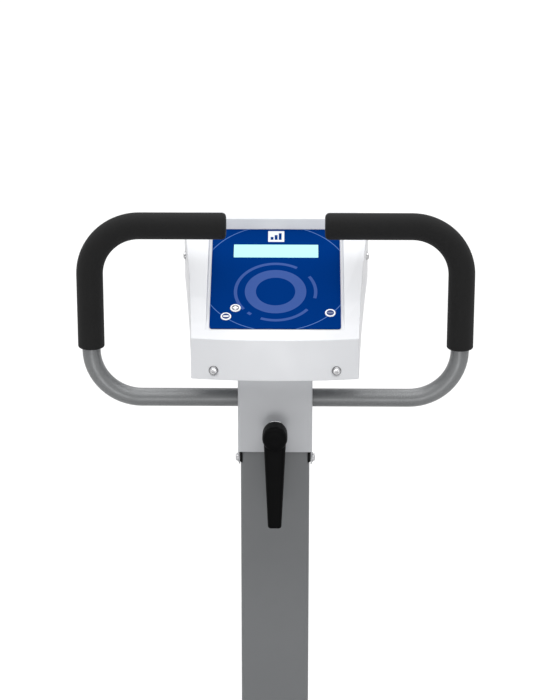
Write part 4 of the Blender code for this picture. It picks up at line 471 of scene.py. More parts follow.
# %% [markdown]
# ## A small workshop for meshes
# Most pieces are drawn as rings of points that a skin is stretched over, or as an outline that
# is pushed through. Sharp edges then get a small bevel, because no moulded, bent or sawn edge is
# perfectly sharp and the bevel is what catches the light. Every piece is placed by moving its
# mesh, so its object stays at the origin.


# %% Helpers that make meshes
def piece_from(bm, name, finish, matrix=None):
    """Wraps a bmesh as a piece, with its faces outwards and its place in its mesh."""
    bmesh.ops.remove_doubles(bm, verts=bm.verts, dist=1e-6)
    if matrix:
        bm.transform(matrix)
    bmesh.ops.recalc_face_normals(bm, faces=bm.faces)
    mesh = bpy.data.meshes.new(name)
    bm.to_mesh(mesh)
    bm.free()
    mesh.materials.append(finishes.get(finish) or bpy.data.materials[finish])
    mesh.shade_smooth()
    return linked(name, mesh)


def skin(name, rings, finish, matrix=None, closed=False, capped=True):
    """A skin from ring to ring. A closed one joins its last ring to its first."""
    bm = bmesh.new()
    made = [[bm.verts.new(point) for point in ring] for ring in rings]
    pairs = list(zip(made, made[1:])) + ([(made[-1], made[0])] if closed else [])
    for low, high in pairs:
        for i in range(len(low)):
            j = (i + 1) % len(low)
            bm.faces.new((low[i], low[j], high[j], high[i]))
    if capped and not closed:
        bm.faces.new(made[0])
        bm.faces.new(made[-1])
    return piece_from(bm, name, finish, matrix)


def lift(plane, point, height):
    """A point of a flat outline, put at a height over its plane."""
    u, v = point
    return Vector({"XY": (u, v, height), "XZ": (u, height, v), "YZ": (height, u, v)}[plane])


def stack(name, plane, layers, finish, matrix=None, closed=False):
    """A solid through several (outline, height) layers."""
    rings = [[lift(plane, point, height) for point in outline] for outline, height in layers]
    return skin(name, rings, finish, matrix, closed)


def prism(name, plane, outline, low, high, finish, matrix=None):
    """An outline pushed straight through from one height to another."""
    return stack(name, plane, [(outline, low), (outline, high)], finish, matrix)


def arc(centre, radius, start, end, steps):
    turns = [math.radians(start + (end - start) * k / steps) for k in range(steps + 1)]
    return [(centre[0] + radius * math.cos(t), centre[1] + radius * math.sin(t)) for t in turns]


def circle(radius, sides=32, centre=(0, 0)):
    return arc(centre, radius, 0, 360, sides)[:-1]


def rounded_box(width, depth, radius, steps=6, centre=(0, 0)):
    x, y = width / 2 - radius, depth / 2 - radius
    points = []
    for turn, spot in enumerate(((x, y), (-x, y), (-x, -y), (x, -y))):
        points += arc(spot, radius, 90 * turn, 90 * turn + 90, steps)
    return [(u + centre[0], v + centre[1]) for u, v in points]


def turned(name, axis, profile, finish, matrix=None, sides=40, bored=False):
    """A profile of (radius, height) points, spun round an axis."""
    plane = {"X": "YZ", "Y": "XZ", "Z": "XY"}[axis]
    layers = [(circle(max(radius, 1e-5), sides), height) for radius, height in profile]
    return stack(name, plane, layers, finish, matrix, closed=bored)


# %% Helpers that finish meshes
def bake(made):
    """Makes the modifiers part of the mesh."""
    view = bpy.context.evaluated_depsgraph_get()
    plain = bpy.data.meshes.new_from_object(made.evaluated_get(view))
    made.modifiers.clear()
    made.data = plain
    return made


def carve(made, *cutters, operation="DIFFERENCE"):
    """Cuts or joins other pieces, and throws them away."""
    for cutter in cutters:
        step = made.modifiers.new("carve", "BOOLEAN")
        step.object = cutter
        step.operation = operation
        step.solver = "EXACT"
        step.use_hole_tolerant = True
    bake(made)
    for cutter in cutters:
        bpy.data.objects.remove(cutter)
    return made


def neaten(made, reach=0.0003, flat=0.5):
    """Merges points that nearly touch and melts level faces into one, so that a bevel has room."""
    net = bmesh.new()
    net.from_mesh(made.data)
    bmesh.ops.remove_doubles(net, verts=net.verts, dist=reach)
    bmesh.ops.dissolve_degenerate(net, edges=net.edges, dist=reach)
    bmesh.ops.dissolve_limit(net, angle_limit=math.radians(flat), verts=net.verts, edges=net.edges)
    net.to_mesh(made.data)
    net.free()
    return made


def outside_edges(made, angle):
    """Marks only the edges that stand out, so that a rounding leaves the inside corners alone."""
    net = bmesh.new()
    net.from_mesh(made.data)
    weight = net.edges.layers.float.new("bevel_weight_edge")
    for edge in net.edges:
        if edge.is_convex and edge.calc_face_angle(0) > math.radians(angle):
            edge[weight] = 1
    net.to_mesh(made.data)
    net.free()


def soften(made, width, segments=3, angle=30, hollows=True):
    """Bevels the sharp edges and keeps the flats flat."""
    if not hollows:
        outside_edges(made, angle)
    if width:
        edge = made.modifiers.new("soft_edges", "BEVEL")
        edge.width = width
        edge.segments = segments
        edge.limit_method = "ANGLE" if hollows else "WEIGHT"
        edge.angle_limit = math.radians(angle)
        edge.use_clamp_overlap = False
        edge.miter_outer = "MITER_ARC"
    made.modifiers.new("flat_faces", "WEIGHTED_NORMAL").weight = 90
    return bake(made)


def crisp(made, angle=30):
    """Smooth shading that stops at sharp edges."""
    made.data.shade_smooth()
    made.data.set_sharp_from_angle(angle=math.radians(angle))
    return made


def settle(made, angle=40):
    """Smooth shading that stops at sharp edges and keeps big flats flat."""
    crisp(made, angle)
    flats = made.modifiers.new("flat_faces", "WEIGHTED_NORMAL")
    flats.weight = 90
    flats.keep_sharp = True
    return bake(made)


def fit(made, body, *stands_for, slot=None, place=None):
    """Puts a piece in its place, on a body, and lets it stand for the CAD nodes it replaces."""
    if place:
        made.data.transform(place)
    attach(made, body)
    if stands_for:
        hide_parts(*stands_for)
    triangles = sum(len(face.vertices) - 2 for face in made.data.polygons)
    print(f"{made.name}: {triangles} triangles on {body}")
    return made

# %% [markdown]
# ## Console cover
# The real cover is one white moulding: a box that widens towards the rear, a bowed front, a
# sunk bed for the keypad and two cheeks that rise beside it into the hood. It is made as a
# joiner would, by sawing a block to its plan and then to its side view, hollowing it, and
# sinking the bed. The edges are rounded last, all at once.

# %% Console outline
FRONT_HALF, FRONT_Y, CHEEK_Y, WIDEST_RUN = 0.0955, -0.070, -0.062, 0.158
LIP_EDGE, UNDERSIDE, COVER_WALL = 0.0938, 0.045, 0.0025
HOOD_WALL, HOOD_TOP, CONSOLE_REAR, REAR_CORNER = 0.0987, 0.1889, 0.1397, 0.025
BED_HALF, BED_FRONT, BED_REAR = 0.0785, -0.0003, 0.16692
PAST_REAR, BOW_DEPTH, PLAN_STEPS = 0.16, 0.008, 24


def half_width(run):
    """The cover's half width at a way behind its front corners."""
    run = min(run, WIDEST_RUN)
    return FRONT_HALF + run * (0.045 + 0.26 * run)


def bow(half, x):
    """How far the bowed front has fallen back at x."""
    return BOW_DEPTH * (x / half) ** 2


def cover_plan(inset):
    """Half of the plan from the middle of the front to the middle of the rear, then mirrored."""
    half, steps = FRONT_HALF - inset, PLAN_STEPS
    right = [(half * k / steps, FRONT_Y + inset + bow(half, half * k / steps)) for k in range(steps + 1)]
    rear_side = CONSOLE_REAR - BOW_DEPTH - REAR_CORNER
    for k in range(1, steps // 2):
        y = CHEEK_Y + (rear_side - CHEEK_Y) * k / (steps // 2)
        right.append((half_width(y - CHEEK_Y) - inset, y))
    corner = REAR_CORNER - inset
    centre = half_width(rear_side - CHEEK_Y) - inset - corner
    right += arc((centre, rear_side), corner, 0, 72, 14)
    edge = right[-1]
    for k in range(1, steps // 2 + 1):
        x = edge[0] * (1 - 2 * k / steps)
        y = CONSOLE_REAR - inset - (CONSOLE_REAR - inset - edge[1]) * (x / edge[0]) ** 2
        right.append((x, y))
    return right + [(-x, y) for x, y in right[-2:0:-1]]


# %% Block, side view and bed
def cover_block(inset, drop, raise_by):
    """The cover's form, drawn in on every side. The side view's slices stand on the plan's points
    and start a little ahead of its front, so that the cut leaves no slivers."""
    block = prism("cover_block", "XY", cover_plan(inset), -0.3, 0.3, "white_moulding")
    half = FRONT_HALF - inset
    slant = raise_by / math.cos(math.radians(PANEL_TILT))
    kink = raise_by * math.tan(math.radians(PANEL_TILT) / 2)
    low = UNDERSIDE + raise_by
    rings = []
    for k in range(-PLAN_STEPS - 1, PLAN_STEPS + 2):
        past = abs(k) - PLAN_STEPS
        x = half * k / PLAN_STEPS if past < 0 else math.copysign(half + (0.1 if past else 0.004), k)
        front = FRONT_Y + inset + bow(half, min(abs(x), half))
        lip_slope = (PANEL_Z - LIP_EDGE) / (PANEL_Y - front)
        ahead = front - 0.002
        view = [(ahead, LIP_EDGE - drop - lip_slope * 0.002), (PANEL_Y, PANEL_Z - drop)]
        view += [(-0.039, PANEL_Z + 0.011 * SLOPE - drop), (-0.018, PANEL_Z + 0.032 * SLOPE + 0.0126 - drop)]
        view += [(HOOD_WALL, HOOD_TOP - drop), (PAST_REAR, HOOD_TOP - drop)]
        view += [(PAST_REAR, UNDERSIDE + 0.21 * SLOPE + slant), (PANEL_Y - kink, low), (ahead, low)]
        rings.append([lift("YZ", point, x) for point in view])
    side_view = skin("cover_side_view", rings, "white_moulding")
    return carve(block, side_view, operation="INTERSECT")


def bed_block(margin, depth):
    """The room over the keypad, cut square to the cover's front but parallel to the panel."""
    front, wall, half = BED_FRONT - margin, BED_REAR + margin, BED_HALF + margin
    outline = [(front, depth), (wall + depth * SLOPE, depth), (wall + 0.05 * SLOPE, 0.05), (front, 0.05)]
    return prism("bed_block", "YZ", outline, -half, half, "white_moulding", PANEL_FROM_HEAD)


# %% Cover
cover = cover_block(0, 0, 0)
cover.name = cover.data.name = "console_cover"
room = carve(cover_block(COVER_WALL, COVER_WALL, -COVER_WALL), bed_block(COVER_WALL, -0.0037))
carve(cover, room, bed_block(0, -0.0012))
neaten(cover, 0.0006, 0.1)
soften(cover, 0.0010, 4, 35, hollows=False)

# %% Pockets and holes
KEYS = {"plus": (-0.0458, 0.0341), "minus": (-0.0564, 0.0205), "start": (0.0629, 0.0266)}
FRONT_SCREW_X, SIDE_SCREW_RUN = 0.070, 0.142
SCREW_SEATS = []
for _, side in SIDES:
    in_front = (side * FRONT_SCREW_X, bow(FRONT_HALF, FRONT_SCREW_X) - 0.0689, 0.056)
    at_side = (side * (half_width(SIDE_SCREW_RUN) - 0.0011), 0.080, 0.14874)
    SCREW_SEATS += [(Vector(in_front), Vector((0, -1, 0))), (Vector(at_side), Vector((side, 0, 0)))]


def facing(spot, outwards):
    """A place with its Z axis along a direction."""
    return Matrix.Translation(spot) @ Vector((0, 0, 1)).rotation_difference(outwards).to_matrix().to_4x4()


def drill(radius, low, high, place, sides=36, flare=0.0):
    """A round cutter, wider at its outer end by a flare."""
    layers = [(circle(radius, sides), low), (circle(radius + flare, sides), high)]
    return stack("drill", "XY", layers, "white_moulding", place)


pockets = []
for spot, outwards in SCREW_SEATS:
    pockets.append(drill(0.0062, 0.0, 0.004, facing(spot, outwards), flare=0.0006))
    pockets.append(drill(0.0028, -0.010, 0.001, facing(spot, outwards)))
for x, y in KEYS.values():
    pockets.append(drill(0.0064, -0.012, 0.0005, PANEL_FROM_HEAD @ at(x, y, 0)))
carve(cover, *pockets)
settle(cover, 25)
fit(cover, "frame", "console_upper_shell", place=HEAD)

# %% [markdown]
# ## Keys
# Under the foil of the real keypad sits a small round button for each function, with its sign
# printed on it. Each key is turned with a low dome. Its sign is a plus, a minus or a short bar,
# drawn by distance from the key's own middle, so the edge of the print stays crisp.

# %% Key finish
KEY_WHITE = (0.88, 0.89, 0.91)


def key_print(label, x, y):
    """A white key with a round print and its sign in the middle."""
    made = new_finish(f"key_print_{label}", KEY_WHITE, 0.35, Specular_IOR_Level=0.3)
    where = place_in(made, PANEL @ at(x, y, 0))
    parts = node(made, "SeparateXYZ", {0: where})
    inner = ring_mask(made, where, 0, 0, -1.0, 0.0044)
    middle = (0.10, 0.105, 0.13) if label == "plus" else (0.001, 0.022, 0.14)
    sign = box_mask(made, parts, -0.0031, 0.0031, -0.0011, 0.0011)
    tint = KEY_WHITE
    if label == "plus":
        sign = maths(made, "MAXIMUM", sign, box_mask(made, parts, -0.0012, 0.0012, -0.0031, 0.0031))
    if label == "start":
        sign = box_mask(made, parts, -0.0034, 0.0034, -0.0009, 0.0009)
        tint = (0.16, 0.20, 0.30)
    body = blend_colours(made, inner, KEY_WHITE, middle)
    feed(made, "Base Color", blend_colours(made, sign, body, tint))
    relief(made, noise(made, 1500, 1), 0.000006)
    return made


# %% Keys
KEY_PROFILE = [(0.0025, -0.0112), (0.0025, -0.0034), (0.0058, -0.0034), (0.0061, -0.0031)]
KEY_PROFILE += [(0.0061, 0.0002), (0.0059, 0.0005), (0.0054, 0.0006), (0.003, 0.00062), (0, 0.00062)]
for label, (x, y) in KEYS.items():
    key_print(label, x, y)
    key = turned(f"{label}_button", "Z", KEY_PROFILE, f"key_print_{label}", PANEL @ at(x, y, 0), 36)
    fit(crisp(key, 40), f"{label}_key", f"key_{label}")

# %% [markdown]
# ## Handlebar
# The loop is one steel tube bent at four corners. Its shape follows a rule, so Geometry Nodes
# make it: a line through the corners, each corner rounded to the bending tool's radius, and a
# round section carried along it. The two ends stop inside the grips.


# %% Helpers for node trees
def geometry_tree(name, **sizes):
    """A tree with a geometry input and output, and one named input for each size."""
    tree = bpy.data.node_groups.new(name, "GeometryNodeTree")
    tree.interface.new_socket("Geometry", in_out="INPUT", socket_type="NodeSocketGeometry")
    tree.interface.new_socket("Geometry", in_out="OUTPUT", socket_type="NodeSocketGeometry")
    for label, value in sizes.items():
        kind = {int: "NodeSocketInt", float: "NodeSocketFloat"}.get(type(value), "NodeSocketMaterial")
        socket = tree.interface.new_socket(label.replace("_", " "), in_out="INPUT", socket_type=kind)
        if kind != "NodeSocketMaterial":
            socket.default_value = value
    return tree, tree.nodes.new("NodeGroupInput"), tree.nodes.new("NodeGroupOutput")


def grow(name, tree, source, matrix=None, **sizes):
    """Runs a tree on a source object and returns its result as one plain mesh piece."""
    bpy.context.scene.collection.objects.link(source)
    step = source.modifiers.new(tree.name, "NODES")
    step.node_group = tree
    for item in tree.interface.items_tree:
        key = item.name.replace(" ", "_")
        if item.in_out == "INPUT" and key in sizes:
            step[item.identifier] = sizes[key]
    view = bpy.context.evaluated_depsgraph_get()
    mesh = bpy.data.meshes.new_from_object(source.evaluated_get(view))
    mesh.name = name
    if matrix:
        mesh.transform(matrix)
    source.modifiers.remove(step)
    bpy.data.objects.remove(source)
    return linked(name, mesh)


def round_section(tree, given, line, radius, capped):
    """A round section carried along a line."""
    sizes = {"Resolution": given.outputs["Sides"], "Radius": given.outputs[radius]}
    section = tool(tree, "GeometryNodeCurvePrimitiveCircle", sizes)
    values = {"Curve": line, "Profile Curve": section.outputs[0], "Fill Caps": capped}
    return tool(tree, "GeometryNodeCurveToMesh", values).outputs[0]


def evenly(tree, given):
    """The given line with points at the given spacing."""
    values = {"Curve": given.outputs["Geometry"], "Length": given.outputs["Spacing"]}
    return tool(tree, "GeometryNodeResampleCurve", values, mode="LENGTH").outputs[0]


def dress(tree, given, result, shape, *steps):
    """Ends a tree: the last steps in their order, and then the finish."""
    for step in steps:
        shape = tool(tree, "GeometryNode" + step, {"Geometry": shape}).outputs[0]
    coat = tool(tree, "GeometryNodeSetMaterial", {"Geometry": shape, "Material": given.outputs["Finish"]})
    tree.links.new(coat.outputs[0], result.inputs[0])


def path_object(points, closed=False):
    """A line through points, as the source of a tree."""
    data = bpy.data.curves.new("path", "CURVE")
    data.dimensions = "3D"
    line = data.splines.new("POLY")
    line.points.add(len(points) - 1)
    for spot, point in zip(line.points, points):
        spot.co = (*point, 1)
    line.use_cyclic_u = closed
    return bpy.data.objects.new("path", data)


# %% Bent tube tree
BEND_RADIUS = 0.058
bent_tube, given, result = geometry_tree(
    "bent_tube", Bend_radius=BEND_RADIUS, Tube_radius=0.01065, Sides=40, Bend_steps=16, Finish=None
)
values = {"Curve": "Geometry", "Radius": "Bend radius", "Count": "Bend steps"}
values = {key: given.outputs[label] for key, label in values.items()}
bends = tool(bent_tube, "GeometryNodeFilletCurve", values, mode="POLY")
swept = round_section(bent_tube, given, bends.outputs[0], "Tube radius", True)
dress(bent_tube, given, result, swept, "SetShadeSmooth", "RealizeInstances")

# %% Handlebar tube
LOOP_X, LOOP_Z, TUBE_END = 0.214, 0.208, 0.0610
corners = [(-TUBE_END, LOOP_Z), (-LOOP_X, LOOP_Z), (-LOOP_X, 0)]
corners += [(-x, z) for x, z in corners[::-1]]
loop = path_object([(x, 0, z) for x, z in corners])
bar = grow("handlebar_loop", bent_tube, loop, HEAD, Finish=finishes["mid_grey_paint"])
fit(crisp(bar, 50), "handlebar", "handlebar_tube")


# %% [markdown]
# ## Grips
# The grips are thick foam tubes pushed over the bar's ends. Foam has no sharp edge, so both ends
# are rounded, the closed one more than the one on the leg.

# %% Grips
GRIP_RADIUS, GRIP_LOW, GRIP_LEG, GRIP_TOP = 0.01545, 0.062, 0.088, 0.0995
LEG_ROUND, END_ROUND = 0.002, 0.005


def grip_path(side, steps=22):
    """Centre line from the leg's lower end, round the bend and inwards to the closed end."""
    bend_x = LOOP_X - BEND_RADIUS
    points = [(LOOP_X, GRIP_LOW + GRIP_LEG * k / 12) for k in range(12)]
    points += arc((bend_x, LOOP_Z - BEND_RADIUS), BEND_RADIUS, 0, 90, steps)
    points += [(bend_x - GRIP_TOP * k / 14, LOOP_Z) for k in range(1, 15)]
    return [Vector((side * x, 0, z)) for x, z in points]


def sweep(path, radii, sides, name, finish, matrix=None):
    """A round section carried along a path in the XZ plane, with a radius at each point."""
    rings = []
    for i, (spot, radius) in enumerate(zip(path, radii)):
        along = (path[min(i + 1, len(path) - 1)] - path[max(i - 1, 0)]).normalized()
        outwards = Vector((-along.z, 0, along.x))
        ring = [spot + outwards * (u * radius) + Vector((0, v * radius, 0)) for u, v in circle(1, sides)]
        rings.append(ring)
    return skin(name, rings, finish, matrix)


def end_rounding(distance, radius, full):
    """The radius of a rounded end at a distance from its tip."""
    if distance >= radius:
        return full
    return full - radius + math.sqrt(max(radius**2 - (radius - distance) ** 2, 0))


def make_grip(label, side):
    """A foam tube whose rings stand closer together at its rounded ends."""
    coarse = grip_path(side)
    length = [0.0]
    for before, after in zip(coarse, coarse[1:]):
        length.append(length[-1] + (after - before).length)
    total = length[-1]
    stops = [0.0, 0.0002, 0.0006, 0.0012, 0.002]
    stops += [value for value in length if 0.003 < value < total - 0.006]
    stops += [total - d for d in (0.005, 0.0035, 0.0024, 0.0015, 0.0008, 0.0003, 0.0)]
    path, radii = [], []
    for stop in stops:
        k = max(i for i, value in enumerate(length[:-1]) if value <= stop + 1e-9)
        share = (stop - length[k]) / (length[k + 1] - length[k])
        path.append(coarse[k].lerp(coarse[k + 1], share))
        near_leg = end_rounding(stop, LEG_ROUND, GRIP_RADIUS)
        near_end = end_rounding(total - stop, END_ROUND, GRIP_RADIUS)
        radii.append(min(near_leg, near_end))
    made = sweep(path, radii, 40, f"foam_grip_{label}", "black_foam", HEAD)
    fit(crisp(made, 60), "handlebar", f"grip_{label}")


for label, side in SIDES:
    make_grip(label, side)

# %% [markdown]
# ## Head sleeve and column
# Both are square steel tubes with corners as tight as the mill can roll them. The sleeve is
# sawn along the tray's slope at the top and cut away at the front and rear below, which leaves
# a rounded ear on each side for a screw.

# %% Square tube helper
def square_tube(name, width, depth, wall, radius, low, high, finish, matrix=None, plane="XY"):
    """A tube with rolled corners, open at both ends."""
    outer = rounded_box(width, depth, radius, 7)
    inner = rounded_box(width - 2 * wall, depth - 2 * wall, max(radius - wall, 0.0003), 7)
    layers = [(outer, low), (outer, high), (inner, high), (inner, low)]
    return stack(name, plane, layers, finish, matrix, closed=True)


# %% Head sleeve
EAR_Z, EAR_ROUND, EAR_HALF, EAR_TALL, CUT_Z = -0.075, 0.0082, 0.0415, 0.023, -0.052
sleeve = square_tube("sleeve_shell", 0.086, 0.086, 0.0015, 0.0032, -0.0835, 0.12, "light_grey_coat")
lean = math.atan2(EAR_TALL, EAR_HALF) + math.asin(EAR_ROUND / math.hypot(EAR_HALF, EAR_TALL))
lean = math.degrees(lean)
below = [(-0.1, -0.11), (0.1, -0.11), (0.1, CUT_Z), (EAR_HALF, CUT_Z)]
below += arc((0, EAR_Z), EAR_ROUND, lean - 90, -90 - lean, 12) + [(-EAR_HALF, CUT_Z), (-0.1, CUT_Z)]
ear_cut = prism("ear_cut", "YZ", below, -0.1, 0.1, "light_grey_coat")
drop = 0.0036 / math.cos(math.radians(PANEL_TILT))
at_bar = UNDERSIDE + 0.050 * SLOPE - drop
above = [(-0.2, at_bar - 0.2 * SLOPE), (0.2, at_bar + 0.2 * SLOPE), (-0.2, 0.4)]
top_cut = prism("top_cut", "YZ", above, -0.1, 0.1, "light_grey_coat")
bar_hole = drill(0.01105, -0.1, 0.1, ALONG_X, 48)
screw_hole = drill(0.0028, -0.1, 0.1, at(0, 0, EAR_Z) @ ALONG_X)
stud_hole = drill(0.0053, -0.1, 0.0, at(0, 0, STUD_Z) @ ALONG_Y)
carve(sleeve, ear_cut, top_cut, bar_hole, screw_hole, stud_hole)
neaten(sleeve, 0.0002)
soften(sleeve, 0.00016, 2)
fit(sleeve, "frame", "head_sleeve", place=HEAD)

# %% Column
sizes = (0.080, 0.080, 0.003, 0.004, 0.1026, 0.9897)
column = square_tube("column_tube", *sizes, "dark_grey_coat", at(0, BAR_AXIS.y, 0))
soften(column, 0.0004, 2, 50)
fit(column, "frame", "front_column")

# %% [markdown]
# ## Screws
# Every screw on the head is a button head with a thin flange and a hexagon socket. It is turned
# once in each size, and Geometry Nodes set a copy of it on each seat, turned to the direction
# stored at that seat.

# %% Tree that sets copies on places
set_copies, given, result = geometry_tree("set_copies", Finish=None)
socket = set_copies.interface.new_socket("Pattern", in_out="INPUT", socket_type="NodeSocketObject")
pattern = tool(set_copies, "GeometryNodeObjectInfo", {"Object": given.outputs["Pattern"]})
outwards = tool(set_copies, "GeometryNodeInputNamedAttribute", {"Name": "outwards"}, data_type="FLOAT_VECTOR")
aim = tool(set_copies, "FunctionNodeAlignRotationToVector", {"Vector": outwards.outputs[0]}, axis="Z")
values = {"Points": given.outputs["Geometry"], "Instance": pattern.outputs["Geometry"]}
values["Rotation"] = aim.outputs[0]
copies = tool(set_copies, "GeometryNodeInstanceOnPoints", values)
dress(set_copies, given, result, copies.outputs[0], "RealizeInstances")


def copies_of(name, model, places, finish, matrix=None):
    """One mesh with a copy of the model at each (spot, outward direction), rid of the model."""
    mesh = bpy.data.meshes.new("places")
    mesh.from_pydata([spot for spot, _ in places], [], [])
    field = mesh.attributes.new("outwards", "FLOAT_VECTOR", "POINT")
    for k, (_, direction) in enumerate(places):
        field.data[k].vector = direction
    source = bpy.data.objects.new("places", mesh)
    made = grow(name, set_copies, source, matrix, Pattern=model, Finish=finish)
    bpy.data.objects.remove(model)
    return made


# %% Button screw
def button_screw(flange=0.0059, head=0.00475, height=0.0036, shank=0.0025, length=0.012):
    """A domed head on a thin flange, with a hexagon socket and a plain shank."""
    base = 0.0012
    profile = [(shank * 0.8, -length), (shank, -length + 0.0008), (shank, 0), (flange - 0.0002, 0)]
    profile += [(flange, 0.0002), (flange, 0.0008), (flange - 0.0004, 0.0011), (head, base)]
    dome = height - base
    for turn in range(0, 70, 10):
        t = math.radians(turn)
        reach = head * (0.42 + 0.58 * math.cos(t) ** 0.8)
        profile.append((reach, base + dome * math.sin(t) / math.sin(math.radians(60)) * 0.98))
    profile[-1] = (head * 0.45, height)
    screw = turned("screw", "Z", profile, "zinc_plate", sides=32)
    hexagon = circle(0.0021, 6)
    pit = [(circle(0.0004, 6), height - 0.0026), (hexagon, height - 0.0020), (hexagon, height + 0.001)]
    carve(screw, stack("pit", "XY", pit, "zinc_plate"))
    return crisp(screw, 28)


def painted_shade_ring():
    """A black ring round the head, painted shade that stands for the dark gap in the screw's pocket."""
    profile = [(0.0027, -0.0004), (0.0050, -0.0004), (0.0053, -0.0001), (0.0053, 0.0003), (0.0050, 0.0006)]
    profile.append((0.0027, 0.0006))
    return crisp(turned("washer", "Z", profile, "black_moulding", bored=True), 40)


# These black rings are painted shade: they stand for the shadow in the gap between each head and its pocket.
shade_rings = copies_of("sealing_washers", painted_shade_ring(), SCREW_SEATS, finishes["black_plastic"], HEAD)
fit(shade_rings, "frame", slot="black_plastic")
model = button_screw(0.0048, 0.0044)
console_screws = copies_of("console_screws", model, SCREW_SEATS, finishes["zinc"], HEAD)
console_nodes = [f"console_{spot}_screw_{label}" for spot in ("front", "side") for label, _ in SIDES]
fit(console_screws, "frame", *console_nodes)
ears = [(Vector((side * 0.0433, 0, EAR_Z)), Vector((side, 0, 0))) for _, side in SIDES]
sleeve_screws = copies_of("sleeve_screws", button_screw(), ears, finishes["zinc"], HEAD)
fit(sleeve_screws, "frame", "sleeve_screw_left", "sleeve_screw_right")

# %% [markdown]
# ## Clamping lever
# The handle is one black moulding: a domed hub with a flat tapered arm that leans away from the
# column. Hub and arm are drawn as two solids, joined, and then the joint is melted together by
# a fine remesh, as the fillet of the real mould does. The steel stud behind it stays bright.

# %% Stud
STUD = [(0.0042, 0.067), (0.005, 0.0655), (0.005, -0.0003), (0.0098, -0.0003), (0.0104, -0.0009)]
STUD += [(0.0104, -0.0027), (0.0098, -0.0033), (0.0084, -0.0033), (0.0084, -0.0118), (0.0079, -0.0123)]
STUD += [(0.006, -0.0123), (0.006, -0.0217), (0.0055, -0.0223)]
stud = turned("lever_stud_fine", "Y", STUD, "zinc_plate", LEVER, 48)
fit(crisp(stud, 30), "stud", "lever_stud")

# %% Handle
HUB_MIDDLE, ARM_DROP, ARM_LEAN = -0.0123 - 0.027 * 0.55, 0.1023, 0.020
hub = [(0.0128, -0.0126), (0.0137, -0.0132), (0.0143, -0.0165), (0.0145, -0.0220), (0.0145, -0.0330)]
hub += [(0.0141, -0.0355), (0.0130, -0.0378), (0.0105, -0.0391), (0.0065, -0.0396)]
handle = turned("clamp_handle", "Y", hub, "black_moulding", sides=64)
rings = []
for share in [k / 24 for k in range(25)] + [1.008, 1.014]:
    width = 0.0262 + (0.0158 - 0.0262) * share
    depth = 0.0150 + (0.0100 - 0.0150) * share
    shrink = {1.008: 0.94, 1.014: 0.84}.get(share, 1.0)
    outline = rounded_box(width * shrink, depth * shrink, depth * 0.34 * shrink, 8)
    out = HUB_MIDDLE - ARM_LEAN * share
    rings.append([Vector((x, y + out, -ARM_DROP * share)) for x, y in outline])
arm = skin("arm", rings, "black_moulding")
carve(handle, arm, operation="UNION")
melt = handle.modifiers.new("melt", "REMESH")
melt.mode = "VOXEL"
melt.voxel_size = 0.0006
relax = handle.modifiers.new("relax", "SMOOTH")
relax.factor = 0.5
relax.iterations = 5
bake(handle)
carve(handle, drill(0.0064, -0.0230, 0.0, ALONG_Y))
crisp(handle, 45)
fit(handle, "lever", "clamp_lever", place=LEVER)

# %% [markdown]
# ## Base
# Everything below the picture's lower edge is a careful guess. Two cross tubes end in moulded
# caps, with a long beam across them. The caps are drawn as slices along the tube, so that the
# grip grooves and the round ends come from one rule.

# %% Cross tubes and beam
FOOT_PLACES = {"front": 0.414, "rear": -0.456}
FOOT_Z = 0.032
for label, y in FOOT_PLACES.items():
    sizes = (0.060, 0.040, 0.0025, 0.004, -0.2377, 0.2377)
    tube = square_tube(f"cross_tube_{label}", *sizes, "dark_grey_coat", at(0, y, FOOT_Z), "YZ")
    fit(soften(tube, 0.0004, 2, 50), "frame", f"{label}_foot")
BEAM_MIDDLE = 0.0773
BEAM_REAR, BEAM_FRONT = -0.480, 0.438
BEAM_PLACE = at(0, 0, BEAM_MIDDLE)
sizes = (0.080, 0.050, 0.003, 0.005, BEAM_REAR, BEAM_FRONT)
beam = square_tube("long_beam", *sizes, "dark_grey_coat", BEAM_PLACE, "XZ")
fit(soften(beam, 0.0004, 2, 50), "frame", "base_beam")

# %% Beam plugs
def beam_plug(label, y, way):
    """A moulded plug with a thin rim and ribs that grip the tube's inside."""
    rim, core = rounded_box(0.079, 0.049, 0.005, 7), rounded_box(0.0725, 0.0425, 0.002, 7)
    edge, dome = rounded_box(0.0775, 0.0475, 0.0045, 7), rounded_box(0.060, 0.030, 0.004, 7)
    layers = [(core, y - way * 0.014), (core, y + way * 0.0001), (rim, y + way * 0.0001)]
    layers += [(rim, y + way * 0.0015), (edge, y + way * 0.0024), (dome, y + way * 0.0030)]
    return stack(f"beam_plug_{label}", "XZ", layers, "black_moulding", BEAM_PLACE)


for label, y, way in (("front", BEAM_FRONT, 1), ("rear", BEAM_REAR, -1)):
    fit(crisp(beam_plug(label, y, way), 25), "frame", slot="black_plastic")

# %% End caps
CAP_INNER, CAP_OUTER, CAP_TOP = 0.190, 0.250, 0.058
CAP_HALF, CAP_ROUND, CAP_SOFT = 0.034, 0.018, 0.0045


def cap_slice(x, groove):
    """A slice across a cap, drawn in where the end turns round or a groove runs."""
    past = max(0.0, min(1.0, (x - (CAP_OUTER - CAP_ROUND)) / CAP_ROUND))
    half = CAP_HALF - CAP_ROUND * (1 - math.sqrt(max(0.0, 1 - past**2))) - groove
    late = max(0.0, min(1.0, (x - (CAP_OUTER - 0.004)) / 0.004))
    drop = 0.004 * (1 - math.sqrt(max(0.0, 1 - late**2)))
    low = drop + 0.0003
    high = CAP_TOP - drop - groove
    outline = rounded_box(2 * half, high - low, min(CAP_SOFT, half * 0.9), 5, (0, (high + low) / 2))
    return [Vector((x, u, v)) for u, v in outline]


